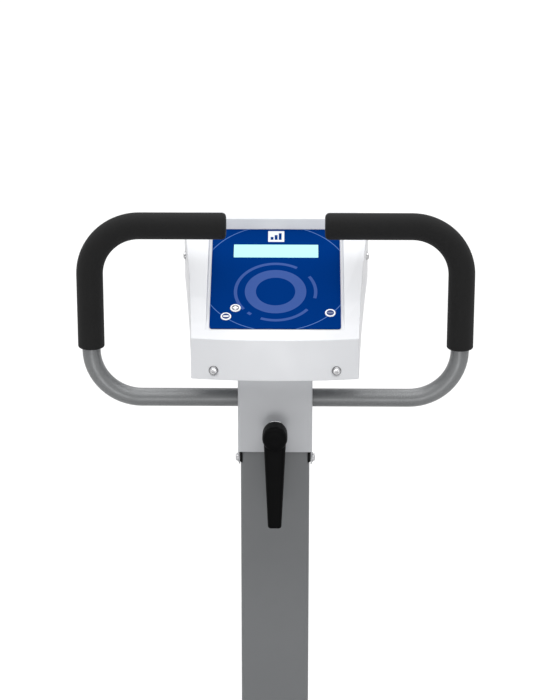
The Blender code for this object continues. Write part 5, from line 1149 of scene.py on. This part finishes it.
def cap_stations():
    """The slices along a cap: its open end, three grip grooves and the round end."""
    stations = [(CAP_INNER, 0.0012), (CAP_INNER + 0.0012, 0)]
    for k in range(3):
        x = 0.198 + 0.0065 * k
        stations += [(x - 0.0012, 0), (x - 0.0005, 0.0008), (x + 0.0005, 0.0008), (x + 0.0012, 0)]
    stations += [(CAP_OUTER - CAP_ROUND * math.cos(math.radians(a)), 0) for a in range(0, 91, 6)]
    return stations


FORK_X, FORK_Y, FORK_Z, FORK_SLOT, FORK_LUG, FORK_ROUND = 0.220, 0.056, 0.023, 0.0096, 0.0166, 0.010


def fork_lug(low, high):
    """A rounded lug with its foot inside the cap."""
    outline = [(0.031, FORK_Z - FORK_ROUND - 0.003), (0.036, FORK_Z - FORK_ROUND)]
    outline += arc((FORK_Y, FORK_Z), FORK_ROUND, -90, 90, 20) + [(0.036, FORK_Z + FORK_ROUND)]
    outline += [(0.031, FORK_Z + FORK_ROUND + 0.003)]
    return soften(prism("lug", "YZ", outline, low, high, "black_moulding"), 0.0009, 2, 50)


def foot_cap(label, side, forked):
    """A cap for a cross tube's end, with a fork for a wheel on the front ones."""
    cap = skin(f"end_cap_{label}", [cap_slice(x, groove) for x, groove in cap_stations()], "black_moulding")
    outline = rounded_box(0.0606, 0.0406, 0.0042, 5)
    carve(cap, prism("room", "YZ", outline, 0.150, 0.238, "black_moulding", at(0, 0, FOOT_Z)))
    if forked:
        lugs = [fork_lug(FORK_X + FORK_SLOT, FORK_X + FORK_LUG)]
        lugs.append(fork_lug(FORK_X - FORK_LUG, FORK_X - FORK_SLOT))
        carve(cap, *lugs, operation="UNION")
        carve(cap, drill(0.0043, 0.19, 0.245, at(0, FORK_Y, FORK_Z) @ ALONG_X, 32))
    crisp(cap, 32)
    if side < 0:
        cap.data.transform(Matrix.Scale(-1, 4, (1, 0, 0)))
        cap.data.flip_normals()
    return cap


for place_label, y in FOOT_PLACES.items():
    for side_label, side in SIDES:
        label = f"{place_label}_{side_label}"
        cap = foot_cap(label, side, place_label == "front")
        fit(cap, "frame", f"foot_cap_{label}", place=at(0, y, 0))

# %% Transport wheels
TYRE = [(0.0043, -0.0088), (0.0085, -0.0088), (0.0088, -0.0080), (0.0088, -0.0066), (0.0150, -0.0066)]
TYRE += [(0.0153, -0.0080), (0.0158, -0.0088), (0.0170, -0.0088), (0.0185, -0.0082), (0.0196, -0.0068)]
for middle in (-0.0036, 0, 0.0036):
    groove = ((0.0199, -0.0009), (0.0190, -0.0005), (0.0190, 0.0005), (0.0199, 0.0009))
    TYRE += [(radius, middle + step) for radius, step in groove]
TYRE += [(r, -h) for r, h in TYRE[:10][::-1]]
PIN = [(0.0030, -0.0166), (0.0036, -0.0163), (0.0040, -0.0158)]
PIN += [(r, -h) for r, h in PIN[::-1]]
for label, side in SIDES:
    place = at(side * FORK_X, FOOT_PLACES["front"] + FORK_Y, FORK_Z)
    wheel = turned(f"wheel_{label}", "X", TYRE, "black_rubber", place, 72, bored=True)
    fit(crisp(wheel, 35), f"{label}_wheel", f"transport_wheel_{label}")
    axle = turned(f"wheel_pin_{label}", "X", PIN, "zinc_plate", place, 32)
    fit(crisp(axle, 30), "frame", f"wheel_axle_{label}")

# %% Foot bolts
def hexagon_bolt(across_flats=0.013, head=0.0053, washer=0.0012, shank=0.0035):
    """A bolt's head on its washer, as one mesh."""
    flat = circle(across_flats / math.sqrt(3), 6)
    layers = [(circle(shank, 6), -0.004), (circle(shank, 6), washer), (flat, washer)]
    layers += [(flat, washer + head * 0.85), ([(x * 0.93, y * 0.93) for x, y in flat], washer + head)]
    bolt = soften(stack("bolt", "XY", layers, "zinc_plate"), 0.0003, 2, 20)
    profile = [(shank + 0.0006, 0.0), (0.0085, 0.0), (0.0088, 0.0003), (0.0088, washer - 0.0003)]
    profile += [(0.0085, washer), (shank + 0.0006, washer)]
    plate = turned("washer", "Z", profile, "zinc_plate", sides=36, bored=True)
    both = bmesh.new()
    both.from_mesh(bolt.data)
    both.from_mesh(plate.data)
    bpy.data.objects.remove(plate)
    both.to_mesh(bolt.data)
    both.free()
    return crisp(bolt, 35)


seats = [(Vector((x, y, BEAM_TOP)), Vector((0, 0, 1))) for y in (-0.440, 0.400) for x in (-0.022, 0.022)]
fit(copies_of("foot_bolts", hexagon_bolt(), seats, finishes["zinc"]), "frame", slot="zinc")

# %% [markdown]
# ## Weld beads
# The column and the seat tube are welded to the beam. A weld is a row of overlapping drops, so
# a tree spaces short flattened drops along a line and turns each to run with it.

# %% Weld bead tree
sizes = {"Spacing": 0.0018, "Drop_radius": 0.0019, "Stretch": 0.75}
weld_bead, given, result = geometry_tree("weld_bead", **sizes, Finish=None)
values = {"Radius": given.outputs["Drop radius"], "Subdivisions": 2}
drop = tool(weld_bead, "GeometryNodeMeshIcoSphere", values)
heading = tool(weld_bead, "GeometryNodeInputTangent")
aim = tool(weld_bead, "FunctionNodeAlignRotationToVector", {"Vector": heading.outputs[0]}, axis="Z")
seed = tool(weld_bead, "GeometryNodeInputIndex")
values = {2: 0.88, 3: 1.08, "ID": seed.outputs[0], "Seed": 5}
uneven = tool(weld_bead, "FunctionNodeRandomValue", values, data_type="FLOAT").outputs[1]
size = tool(weld_bead, "ShaderNodeCombineXYZ", {0: uneven, 1: uneven, 2: given.outputs["Stretch"]})
values = {"Instance": drop.outputs[0], "Rotation": aim.outputs[0], "Scale": size.outputs[0]}
beads = tool(weld_bead, "GeometryNodeInstanceOnPoints", {"Points": evenly(weld_bead, given), **values})
dress(weld_bead, given, result, beads.outputs[0], "RealizeInstances", "SetShadeSmooth")


def weld(name, outline):
    """A bead along an outline on the beam's top."""
    points = [Vector((x, y, BEAM_TOP + 0.0003)) for x, y in outline]
    bead = grow(name, weld_bead, path_object(points, True), Finish=finishes["dark_grey_paint"])
    return fit(bead, "frame", slot="dark_grey_paint")


weld("column_weld", [(x, y + BAR_AXIS.y) for x, y in rounded_box(0.081, 0.081, 0.0045, 4)])
half_run = 0.0305 / math.cos(math.radians(SEAT_LEAN))
outline = rounded_box(0.061, 0.061, 0.0045, 4)
weld("seat_tube_weld", [(x, y / 0.0305 * half_run + SEAT_TUBE_Y) for x, y in outline])

# %% [markdown]
# ## Seat tube, post and knob
# The seat tube leans back by twelve degrees. A moulded bush guides a chromed post in it, and a
# star knob presses on the post through a threaded boss. Short marks down the post's front
# let a rider find the same height again.

# %% Seat tube
KNOB_HEIGHT = 0.432
ANY_WIDTH = rounded_box(1, 1, 0.01)
tube = square_tube("seat_tube_shell", 0.060, 0.060, 0.003, 0.004, -0.030, 0.470, "dark_grey_coat")
to_front = at(0, 0, KNOB_HEIGHT) @ ALONG_Y
boss = [(0.0128, 0.0285), (0.0128, 0.0304), (0.0114, 0.0320)]
boss += [(0.0110, 0.0332), (0.0110, 0.0382), (0.0103, 0.0390)]
carve(tube, turned("boss", "Z", boss, "dark_grey_coat", to_front, 48), operation="UNION")
ground = prism("ground", "XY", ANY_WIDTH, -0.5, BEAM_TOP + 0.0003, "dark_grey_coat", SEAT_TUBE.inverted())
carve(tube, ground, drill(0.0053, 0.0, 0.06, to_front, 32))
neaten(tube, 0.0001)
soften(tube, 0.0003, 2, 50)
fit(tube, "frame", "seat_tube", place=SEAT_TUBE)

# %% Bush
bore, sleeved = rounded_box(0.0506, 0.0506, 0.0043, 8), rounded_box(0.0534, 0.0534, 0.0037, 8)
collar = rounded_box(0.060, 0.060, 0.004, 8)
layers = [(bore, 0.410), (sleeved, 0.410), (sleeved, 0.4703)]
layers += [(collar, 0.4703), (collar, 0.4823), (bore, 0.4823)]
bush = stack("guide_bush", "XY", layers, "black_moulding", closed=True)
carve(bush, drill(0.0053, 0.0, 0.06, to_front, 32))
neaten(bush, 0.0001)
soften(bush, 0.0006, 3, 50)
fit(bush, "frame", "seat_tube_bush", place=SEAT_TUBE)

# %% Post
post = square_tube("chromed_post", 0.050, 0.050, 0.003, 0.004, 0.230, 0.680, "chrome_plate")
marks = []
for k in range(14):
    half = 0.009 if k % 5 == 0 else 0.0055
    height = 0.500 + 0.010 * k
    outline = rounded_box(2 * half, 0.0012, 0.0005, 3, (0, height))
    marks.append(prism("mark", "XZ", outline, 0.0246, 0.0260, "chrome_plate"))
carve(post, *marks)
neaten(post, 0.0001)
soften(post, 0.0003, 2, 50)
fit(post, "seat", "seat_post", place=SEAT_TUBE)


# %% Star knob
def star(radius, depth=0.004, lobes=5, sides=120):
    """A round outline with soft lobes."""
    points = []
    for k in range(sides):
        t = 2 * math.pi * k / sides
        reach = radius - depth * (1 - math.cos(lobes * t)) / 2
        points.append((reach * math.cos(t), reach * math.sin(t)))
    return points


def star_knob():
    """A lobed head with a sunk cap on its face and a stem behind it."""
    low, high, soft = 0.0457, 0.0657, 0.0042
    rear = ((0.0190, 0), (0.0206, 0.0006), (0.0217, 0.0020), (0.022, 0.004))
    layers = [(star(radius), low + step) for radius, step in rear]
    for turn in range(0, 91, 15):
        a = math.radians(turn)
        layers.append((star(0.022 - soft * (1 - math.cos(a))), high - soft + soft * math.sin(a)))
    layers.append((star(0.0135, 0.0022), high))
    face = ((0.0098, 0), (0.0094, 0.0006), (0.0090, 0.0006), (0.0086, 0.0002), (0.004, 0))
    layers += [(circle(radius, 120), high - sunk) for radius, sunk in face]
    knob = stack("star_knob", "XZ", layers, "black_moulding")
    neck = [(0.0046, 0.0253), (0.005, 0.0258), (0.005, 0.0392)]
    neck += [(0.0084, 0.0393), (0.0088, 0.0398), (0.0088, 0.0470)]
    stem = turned("stem", "Y", neck, "black_moulding", sides=60)
    carve(knob, stem, operation="UNION")
    return crisp(knob, 38)


fit(star_knob(), "knob", "seat_knob", place=SEAT_TUBE @ at(0, 0, KNOB_HEIGHT))

# %% [markdown]
# ## Saddle
# The saddle is wide at the rear and narrow at the nose. Its base is a plain black moulding. The
# cushion above it starts a little too small, is blown up by a cloth simulation and then gets
# its piped seam, so that it is crowned and drawn in at the edge as stuffed vinyl is.

# %% Saddle bracket
into_slide = SADDLE.inverted() @ SEAT_TUBE
bracket = prism("saddle_plate", "XY", rounded_box(0.080, 0.120, 0.008, 8), 0, 0.006, "dark_grey_coat")
outline = rounded_box(0.0586, 0.0586, 0.008, 8)
socket = prism("socket", "XY", outline, 0.635, 0.730, "dark_grey_coat", into_slide)
carve(socket, prism("lid", "XY", ANY_WIDTH, 0.003, 0.5, "dark_grey_coat"))
carve(bracket, socket, operation="UNION")
outline = rounded_box(0.0506, 0.0506, 0.0043, 8)
carve(bracket, prism("bore", "XY", outline, 0.4, 0.6803, "dark_grey_coat", into_slide))
soften(bracket, 0.0006, 2, 50)
fit(bracket, "seat", "saddle_bracket", place=SADDLE)


# %% Saddle shape
def saddle_half_width(share):
    """Half of the saddle's width at a share of its length, from the nose at 0 to the rear at 1."""
    swell = 0.5 - 0.5 * math.cos(math.pi * min(max((share - 0.18) / 0.62, 0), 1))
    return 0.038 + 0.082 * swell


def closing(share, nose=0.14, rear=0.22):
    """A factor that closes the plan with a round nose and a round rear."""
    if share < nose:
        return math.sqrt(max(0.0, 1 - ((nose - share) / nose) ** 2))
    if share > 1 - rear:
        return math.sqrt(max(0.0, 1 - ((share - 1 + rear) / rear) ** 2))
    return 1.0


def saddle_ring(share, inset, low, high, squareness, steps):
    """A ring across the saddle, rounded above and fuller below."""
    half = (saddle_half_width(share) - inset) * max(closing(share), 0.12)
    y = 0.150 - 0.275 * share + inset * (2 * share - 1)
    middle = low + (high - low) * 0.35
    ring = []
    for k in range(steps):
        t = 2 * math.pi * k / steps
        side, up = math.cos(t), math.sin(t)
        if up >= 0:
            reach, z = abs(side) ** squareness, middle + (high - middle) * up**0.75
        else:
            reach, z = abs(side) ** 0.15 * (1 + 0.08 * up), middle + (middle - low) * up
        ring.append(Vector((math.copysign(half * reach, side), y, z)))
    return ring


def saddle_solid(name, inset, low, high, squareness, finish, sides=96, stations=64):
    """A closed saddle shape, lower at the nose and towards both ends."""
    rings = []
    for k in range(stations + 1):
        share = 0.5 - 0.5 * math.cos(math.pi * k / stations)
        dip = 0.18 * (1 - math.sin(math.pi * min(share / 0.8 + 0.1, 1) / 2))
        ends = 0.42 * (1 - max(closing(share), 0.25))
        top = high - (dip + ends) * (high - low)
        rings.append(saddle_ring(share, inset, low, top, squareness, sides))
    return skin(name, rings, finish)


def saddle_outline(inset, steps=96):
    """The saddle's plan, from the nose down the left side and up the right."""
    left = []
    for k in range(steps + 1):
        share = 0.5 - 0.5 * math.cos(math.pi * k / steps)
        half = (saddle_half_width(share) - inset) * closing(share)
        left.append((-half, 0.150 - 0.275 * share + inset * (2 * share - 1)))
    return left + [(-x, y) for x, y in left[-2:0:-1]]


def level_cut(made, low, high):
    """Cuts away what lies between two heights."""
    return carve(made, prism("slab", "XY", ANY_WIDTH, low, high, "black_moulding"))


# %% Saddle base
BASE_LOW, BASE_HIGH = 0.0063, 0.0243
below = ((0.0160, 0), (0.0110, 0.0006), (0.0082, 0.0022), (0.0066, 0.0048), (0.0060, 0.0080))
layers = [(inset, BASE_LOW + step) for inset, step in below]
layers += [(0.0060, BASE_HIGH - 0.0012), (0.0064, BASE_HIGH - 0.0003), (0.0072, BASE_HIGH)]
layers = [(saddle_outline(inset), height) for inset, height in layers]
base = stack("saddle_pan", "XY", layers, "black_moulding")
crisp(base, 40)
fit(base, "seat", "saddle_base", place=SADDLE)

# %% [markdown]
# ## Cushion
# The cushion begins as a slightly small saddle shape. It is remeshed into an even net, blown up
# by the cloth solver with its rim held, and no point may travel further than a set limit.

# %% Inflate the cushion
CUSHION_LOW, CUSHION_HIGH = 0.0246, 0.0826
SWELL_LIMIT = 0.007


def inflate(made, pressure, limit, held):
    """Blows a closed mesh up like a filled bag, and keeps each point near its start."""
    start = [v.co.copy() for v in made.data.vertices]
    pinned = made.vertex_groups.new(name="held")
    for v in made.data.vertices:
        pinned.add([v.index], held(v.co), "REPLACE")
    cloth = made.modifiers.new("filling", "CLOTH")
    settings = {"use_pressure": True, "uniform_pressure_force": pressure, "quality": 6, "mass": 0.3}
    settings.update(tension_stiffness=12, compression_stiffness=12, shear_stiffness=8, bending_stiffness=1.5)
    for key, value in settings.items():
        setattr(cloth.settings, key, value)
    cloth.settings.effector_weights.gravity = 0
    cloth.settings.vertex_group_mass = "held"
    cloth.collision_settings.use_collision = False
    cloth.point_cache.frame_end = 20
    for frame in range(1, 21):
        bpy.context.scene.frame_set(frame)
    bake(made)
    bpy.context.scene.frame_set(1)
    for v, origin in zip(made.data.vertices, start):
        move = v.co - origin
        if move.length > limit:
            v.co = origin + move * (limit / move.length)
    made.vertex_groups.clear()
    return made


heights = (CUSHION_LOW - 0.003, CUSHION_HIGH - 0.005)
cushion = saddle_solid("saddle_pad", 0.0025, *heights, 0.6, "seat_vinyl_plain", 72, 48)
level_cut(cushion, -0.3, CUSHION_LOW + 0.0004)
net = cushion.modifiers.new("net", "REMESH")
net.mode = "VOXEL"
net.voxel_size = 0.004
bake(cushion)
rim_height = CUSHION_LOW + 0.006
inflate(cushion, 4.0, SWELL_LIMIT, lambda co: 1.0 if co.z < rim_height else 0.0)
relax = cushion.modifiers.new("relax", "SMOOTH")
relax.factor = 0.5
relax.iterations = 4
fine = cushion.modifiers.new("fine", "SUBSURF")
fine.levels = fine.render_levels = 1
bake(cushion)
for v in cushion.data.vertices:
    v.co.z = max(v.co.z, CUSHION_LOW + 0.0001)

# %% Draw the seam in
SEAM_HEIGHT = 0.0390


def seam_line(height, clear):
    """A closed line round the cushion's side at one height, a set way clear of its skin."""
    points = [v.co for v in cushion_sides.vertices]
    net = BVHTree.FromPolygons(points, [tuple(face.vertices) for face in cushion_sides.polygons])
    line = []
    for x, y in saddle_outline(0.0):
        spot, normal, _, _ = net.find_nearest(Vector((x, y, height)))
        outwards = Vector((normal.x, normal.y, 0)).normalized()
        line.append(Vector((spot.x, spot.y, height)) + outwards * clear)
    for _ in range(3):
        line = [(line[k - 1] + line[k] * 2 + line[(k + 1) % len(line)]) / 4 for k in range(len(line))]
    return line


for v in cushion.data.vertices:
    pull = 0.0012 * math.exp(-(((v.co.z - SEAM_HEIGHT) / 0.0035) ** 2))
    level = Vector((v.normal.x, v.normal.y, 0))
    if level.length > 0.5:
        v.co -= level.normalized() * pull
crisp(cushion, 60)
cushion_sides = cushion.data.copy()
cushion.data.transform(SADDLE)
fit(cushion, "seat", "saddle_cushion")
box = [[f(v.co[i] for v in cushion.data.vertices) for i in range(3)] for f in (min, max)]
print("cushion:", len(cushion.data.polygons), "faces", [[round(v, 4) for v in row] for row in box])

# %% Piping tree
piping, given, result = geometry_tree("piping", Spacing=0.003, Cord_radius=0.0016, Sides=14, Finish=None)
swept = round_section(piping, given, evenly(piping, given), "Cord radius", False)
dress(piping, given, result, swept, "SetShadeSmooth")

# %% Piping and stitches
thread = moulding("seam_thread", (0.055, 0.055, 0.058), 0.7)
row = path_object(seam_line(SEAM_HEIGHT, -0.0001), True)
cord = grow("saddle_piping", piping, row, SADDLE, Finish=finishes["seat_vinyl"])
fit(cord, "seat", slot=slots["saddle_cushion"])
row = path_object(seam_line(SEAM_HEIGHT + 0.0062, 0.0001), True)
sizes = {"Spacing": 0.0046, "Drop_radius": 0.00045, "Stretch": 3.6}
stitches = grow("saddle_stitches", weld_bead, row, SADDLE, **sizes, Finish=thread)
fit(stitches, "seat", slot=slots["saddle_cushion"])

# %% [markdown]
# ## Drive housing
# Two white halves are stretched round the pulley and the flywheel like a taut skin. Their rims
# are rounded, a fine groove runs where they meet, and each side has a round cover plate at the
# crank, a row of vents by the flywheel and five screws.

# %% Housing outline
HOUSING_HALF, HOUSING_SOFT, HOUSING_WALL = 0.055, 0.012, 0.0025
FLYWHEEL_SPOT = (0.129, 0.215)
HOUSING_FORMS = [(CRANK_SPOT, 0.130), (FLYWHEEL_SPOT, 0.1115)]
HOUSING_FORMS += [((0.246, 0.1176), 0.015), ((-0.091, 0.1176), 0.015)]


def taut(forms, inset=0.0, steps=256):
    """The outline of a band stretched round circles."""
    points = []
    for k in range(steps):
        t = 2 * math.pi * (k + 0.5) / steps
        across, up = math.cos(t), math.sin(t)
        spot, radius = max(forms, key=lambda form: form[0][0] * across + form[0][1] * up + form[1])
        points.append((spot[0] + (radius - inset) * across, spot[1] + (radius - inset) * up))
    return points


def housing_skin(name, side, wall, seam):
    """One half as layers from the seam outwards."""
    layers = [(taut(HOUSING_FORMS, wall + seam), side * 0.00015 if not wall else side * -0.003)]
    if seam:
        layers.append((taut(HOUSING_FORMS, wall), side * (0.00015 + seam)))
    flat = HOUSING_HALF - HOUSING_SOFT - wall
    for turn in range(0, 91, 10):
        t = math.radians(turn)
        outline = taut(HOUSING_FORMS, wall + HOUSING_SOFT * (1 - math.cos(t)))
        layers.append((outline, side * (flat + HOUSING_SOFT * math.sin(t))))
    return stack(name, "YZ", layers, "white_moulding")


# %% Cutters for one side
def side_ring(side, spot, inner, outer, depth):
    """A flat ring cutter in the side face."""
    low, high = side * HOUSING_HALF - side * depth, side * HOUSING_HALF + side * 0.01
    profile = [(inner, low), (outer, low), (outer, high), (inner, high)]
    return turned("ring", "X", profile, "white_moulding", at(0, *spot), 128, bored=True)


def vent_slots(side):
    """Slanted slots through the side by the flywheel, longer in the middle."""
    vents = []
    for k in range(-3, 4):
        outline = rounded_box(0.0045, 0.046 - 0.004 * abs(k), 0.0022, 6)
        place = at(0, FLYWHEEL_SPOT[0] + 0.028 + 0.0115 * k, FLYWHEEL_SPOT[1] - 0.012) @ turn_by(-20, "X")
        ends = sorted((side * 0.048, side * 0.060))
        vents.append(prism("vent", "YZ", outline, *ends, "white_moulding", place))
    return vents


HOUSING_SCREWS = [(-0.088, 0.1215), (0.236, 0.1215), (0.216, 0.253), (0.080, 0.368), (-0.112, 0.318)]


def screw_seats(side, sunk):
    """Where the screws sit in one side, and which way they face."""
    return [(Vector((side * (HOUSING_HALF - sunk), y, z)), Vector((side, 0, 0))) for y, z in HOUSING_SCREWS]


def housing_half(label, side):
    """A thin shell with room for the seat tube's foot, the crank, the vents and the screws."""
    shell = housing_skin(f"housing_shell_{label}", side, 0, 0.0007)
    room = housing_skin("room", side, HOUSING_WALL, 0)
    rear, front = CRANK_SPOT[0] - 0.022, FLYWHEEL_SPOT[0] + 0.022
    outline = rounded_box(0.052, front - rear, 0.002, 3, (-0.006, (front + rear) / 2))
    slot = prism("slot", "XY", outline, 0.05, 0.1076, "white_moulding")
    hole = drill(0.0125, *sorted((side * 0.030, side * 0.070)), at(0, *CRANK_SPOT) @ ALONG_X, 64)
    carve(shell, room, slot, hole, side_ring(side, CRANK_SPOT, 0.0640, 0.0655, 0.0010), *vent_slots(side))
    seats = screw_seats(side, 0.0022)
    carve(shell, *[drill(0.0064, 0.0, 0.01, facing(*seat), flare=0.0004) for seat in seats])
    settle(shell, 35)
    return fit(shell, "frame", f"housing_{label}")


for label, side in SIDES:
    housing_half(label, side)
    model = button_screw(0.0056, 0.0045, 0.0030, 0.002, 0.004)
    screws = copies_of(f"housing_screws_{label}", model, screw_seats(side, 0.0021), finishes["zinc"])
    fit(screws, "frame", slot="zinc")

# %% [markdown]
# ## Cranks and pedals
# Each arm is a forged bar between a large and a small eye, with a shallow channel down its
# outer face and a bolt at the axle. The pedals are platforms with a row of tread bars, heavier
# below their spindle, and a rubber strap with holes arches over each.

# %% Crank arms
ARM_IN, ARM_OUT, ARM_REACH = 0.060, 0.074, 0.170


def crank_arm(label, side):
    """A forged arm that reaches forward on the right and back on the left, with its spindle."""
    reach = side * ARM_REACH
    forms = [((0, 0), 0.020), ((reach, 0), 0.014)]
    faces = ((0.0012, ARM_IN), (0.0, ARM_IN + 0.0012), (0.0, ARM_OUT - 0.0026))
    faces += ((0.0008, ARM_OUT - 0.0010), (0.0028, ARM_OUT))
    layers = [(taut(forms, inset, 160), side * x) for inset, x in faces]
    arm = stack(f"crank_bar_{label}", "YZ", layers, "chrome_plate")
    forms = [((side * 0.036, 0), 0.0075), ((side * (ARM_REACH - 0.028), 0), 0.0055)]
    faces = ((0.0012, ARM_OUT - 0.0016), (0, ARM_OUT + 0.001))
    channel = [(taut(forms, inset, 96), side * x) for inset, x in faces]
    carve(arm, stack("channel", "YZ", channel, "chrome_plate"))
    carve(arm, drill(0.0088, *sorted((side * 0.05, side * 0.08)), ALONG_X, 48))
    spindle = [(0.0068, ARM_OUT - 0.004), (0.0068, ARM_OUT), (0.0095, ARM_OUT), (0.0095, ARM_OUT + 0.0014)]
    spindle += [(0.007, ARM_OUT + 0.0016), (0.007, 0.1645), (0.0062, 0.166)]
    spindle = [(radius, side * x) for radius, x in spindle]
    carve(arm, turned("spindle", "X", spindle, "chrome_plate", at(0, reach, 0), 48), operation="UNION")
    settle(arm, 30)
    return fit(arm, "crank", f"crank_arm_{label}", place=CRANK)


def axle_bolt():
    """A flanged cap over the axle's end."""
    profile = [(0.0030, -0.0005), (0.0082, -0.0005), (0.0082, 0.0003), (0.0112, 0.0003), (0.0116, 0.0007)]
    profile += [(0.0116, 0.0014), (0.0112, 0.0018), (0.0092, 0.0019)]
    dome = [math.radians(t) for t in range(0, 80, 10)]
    profile += [(0.0090 * math.cos(t), 0.0020 + 0.0024 * math.sin(t)) for t in dome]
    return crisp(turned("bolt", "Z", profile, "black_moulding", sides=48), 30)


for label, side in SIDES:
    crank_arm(label, side)
ends = [(Vector((side * ARM_OUT, 0, 0)), Vector((side, 0, 0))) for _, side in SIDES]
caps = copies_of("axle_caps", axle_bolt(), ends, finishes["black_plastic"], CRANK)
fit(caps, "crank", slot="black_plastic")

# %% Axle
axle = [(0.0074, -0.0740), (0.0085, -0.0729), (0.0085, 0.0729), (0.0074, 0.0740)]
fit(crisp(turned("crank_spindle", "X", axle, "zinc_plate", CRANK, 48), 25), "crank", "crank_axle")

# %% Pedals
PEDAL_MIDDLE, PEDAL_WIDTH, PEDAL_LENGTH = 0.124, 0.096, 0.104
PEDAL_TOP, PEDAL_BOTTOM = 0.009, -0.017
STRAP_Y = 0.027


def pedal(label, side, place):
    """A platform with tread grooves above and below and a recess at each end."""
    faces = ((0.003, PEDAL_BOTTOM), (0.0012, PEDAL_BOTTOM + 0.0008), (0, PEDAL_BOTTOM + 0.003))
    faces += ((0, PEDAL_TOP - 0.003), (0.0012, PEDAL_TOP - 0.0008), (0.003, PEDAL_TOP))
    layers = []
    for inset, z in faces:
        layers.append((rounded_box(PEDAL_WIDTH - 2 * inset, PEDAL_LENGTH - 2 * inset, 0.016 - inset, 10), z))
    middle = at(side * PEDAL_MIDDLE, 0, 0)
    body = stack(f"pedal_body_{label}", "XY", layers, "black_moulding", middle)
    grooves = []
    for k in range(-5, 6):
        outline = rounded_box(0.076, 0.0042, 0.0015, 4, (0, 0.0082 * k))
        for ends in ((PEDAL_TOP - 0.002, PEDAL_TOP + 0.001), (PEDAL_BOTTOM - 0.001, PEDAL_BOTTOM + 0.002)):
            grooves.append(prism("groove", "XY", outline, *ends, "black_moulding", middle))
    outline = rounded_box(0.058, 0.011, 0.003, 4, (0, -0.004))
    for end in (-1, 1):
        near = sorted((end * (PEDAL_LENGTH / 2 - 0.0018), end * (PEDAL_LENGTH / 2 + 0.002)))
        grooves.append(prism("recess", "XZ", outline, *near, "black_moulding", middle))
    grooves.append(drill(0.0073, *sorted((side * 0.070, side * 0.1663)), ALONG_X, 48))
    carve(body, *grooves)
    settle(body, 35)
    return fit(body, f"{label}_pedal", f"pedal_{label}", place=place)


def strap_arch(half, rise, steps=48):
    """A line over the foot, steeper at its sides than a half circle."""
    points = []
    for k in range(steps + 1):
        t = math.pi * k / steps
        reach = abs(math.cos(t)) ** 0.7 * (1 if math.cos(t) > 0 else -1)
        points.append((half * reach, 0.0093 + rise * max(math.sin(t), 0) ** 0.9))
    return points


def strap(label, side, place):
    """A rubber band over the foot, with a row of holes on top."""
    outline = strap_arch(0.044, 0.062) + strap_arch(0.0415, 0.0595)[::-1]
    middle = side * PEDAL_MIDDLE
    belt = prism(f"foot_strap_{label}", "XZ", outline, 0.012, 0.042, "black_rubber", at(middle, 0, 0))
    spots = [at(middle + 0.0115 * k, STRAP_Y, 0) for k in range(-2, 3)]
    carve(belt, *[drill(0.0028, 0.055, 0.080, spot, 24) for spot in spots])
    neaten(belt, 0.0002, 0.2)
    soften(belt, 0.0004, 2, 50)
    return fit(belt, f"{label}_pedal", f"pedal_strap_{label}", place=place)


def buckle(label, side, place):
    """A bent wire frame at the outer foot of the strap."""
    outer = rounded_box(0.036, 0.016, 0.003, 5, (STRAP_Y, 0.021))
    inner = rounded_box(0.0315, 0.0105, 0.002, 5, (STRAP_Y, 0.021))
    near = side * (PEDAL_MIDDLE + 0.044) + side * 0.0004
    far = near + side * 0.0016
    layers = [(outer, near), (outer, far), (inner, far), (inner, near)]
    wire = stack(f"strap_buckle_{label}", "YZ", layers, "zinc_plate", closed=True)
    soften(wire, 0.0005, 2, 50)
    return fit(wire, f"{label}_pedal", slot="zinc", place=place)


for label, side in SIDES:
    place = CRANK @ at(0, side * ARM_REACH, 0) @ turn_by(CRANK_DIP, "X")
    pedal(label, side, place)
    strap(label, side, place)
    buckle(label, side, place)
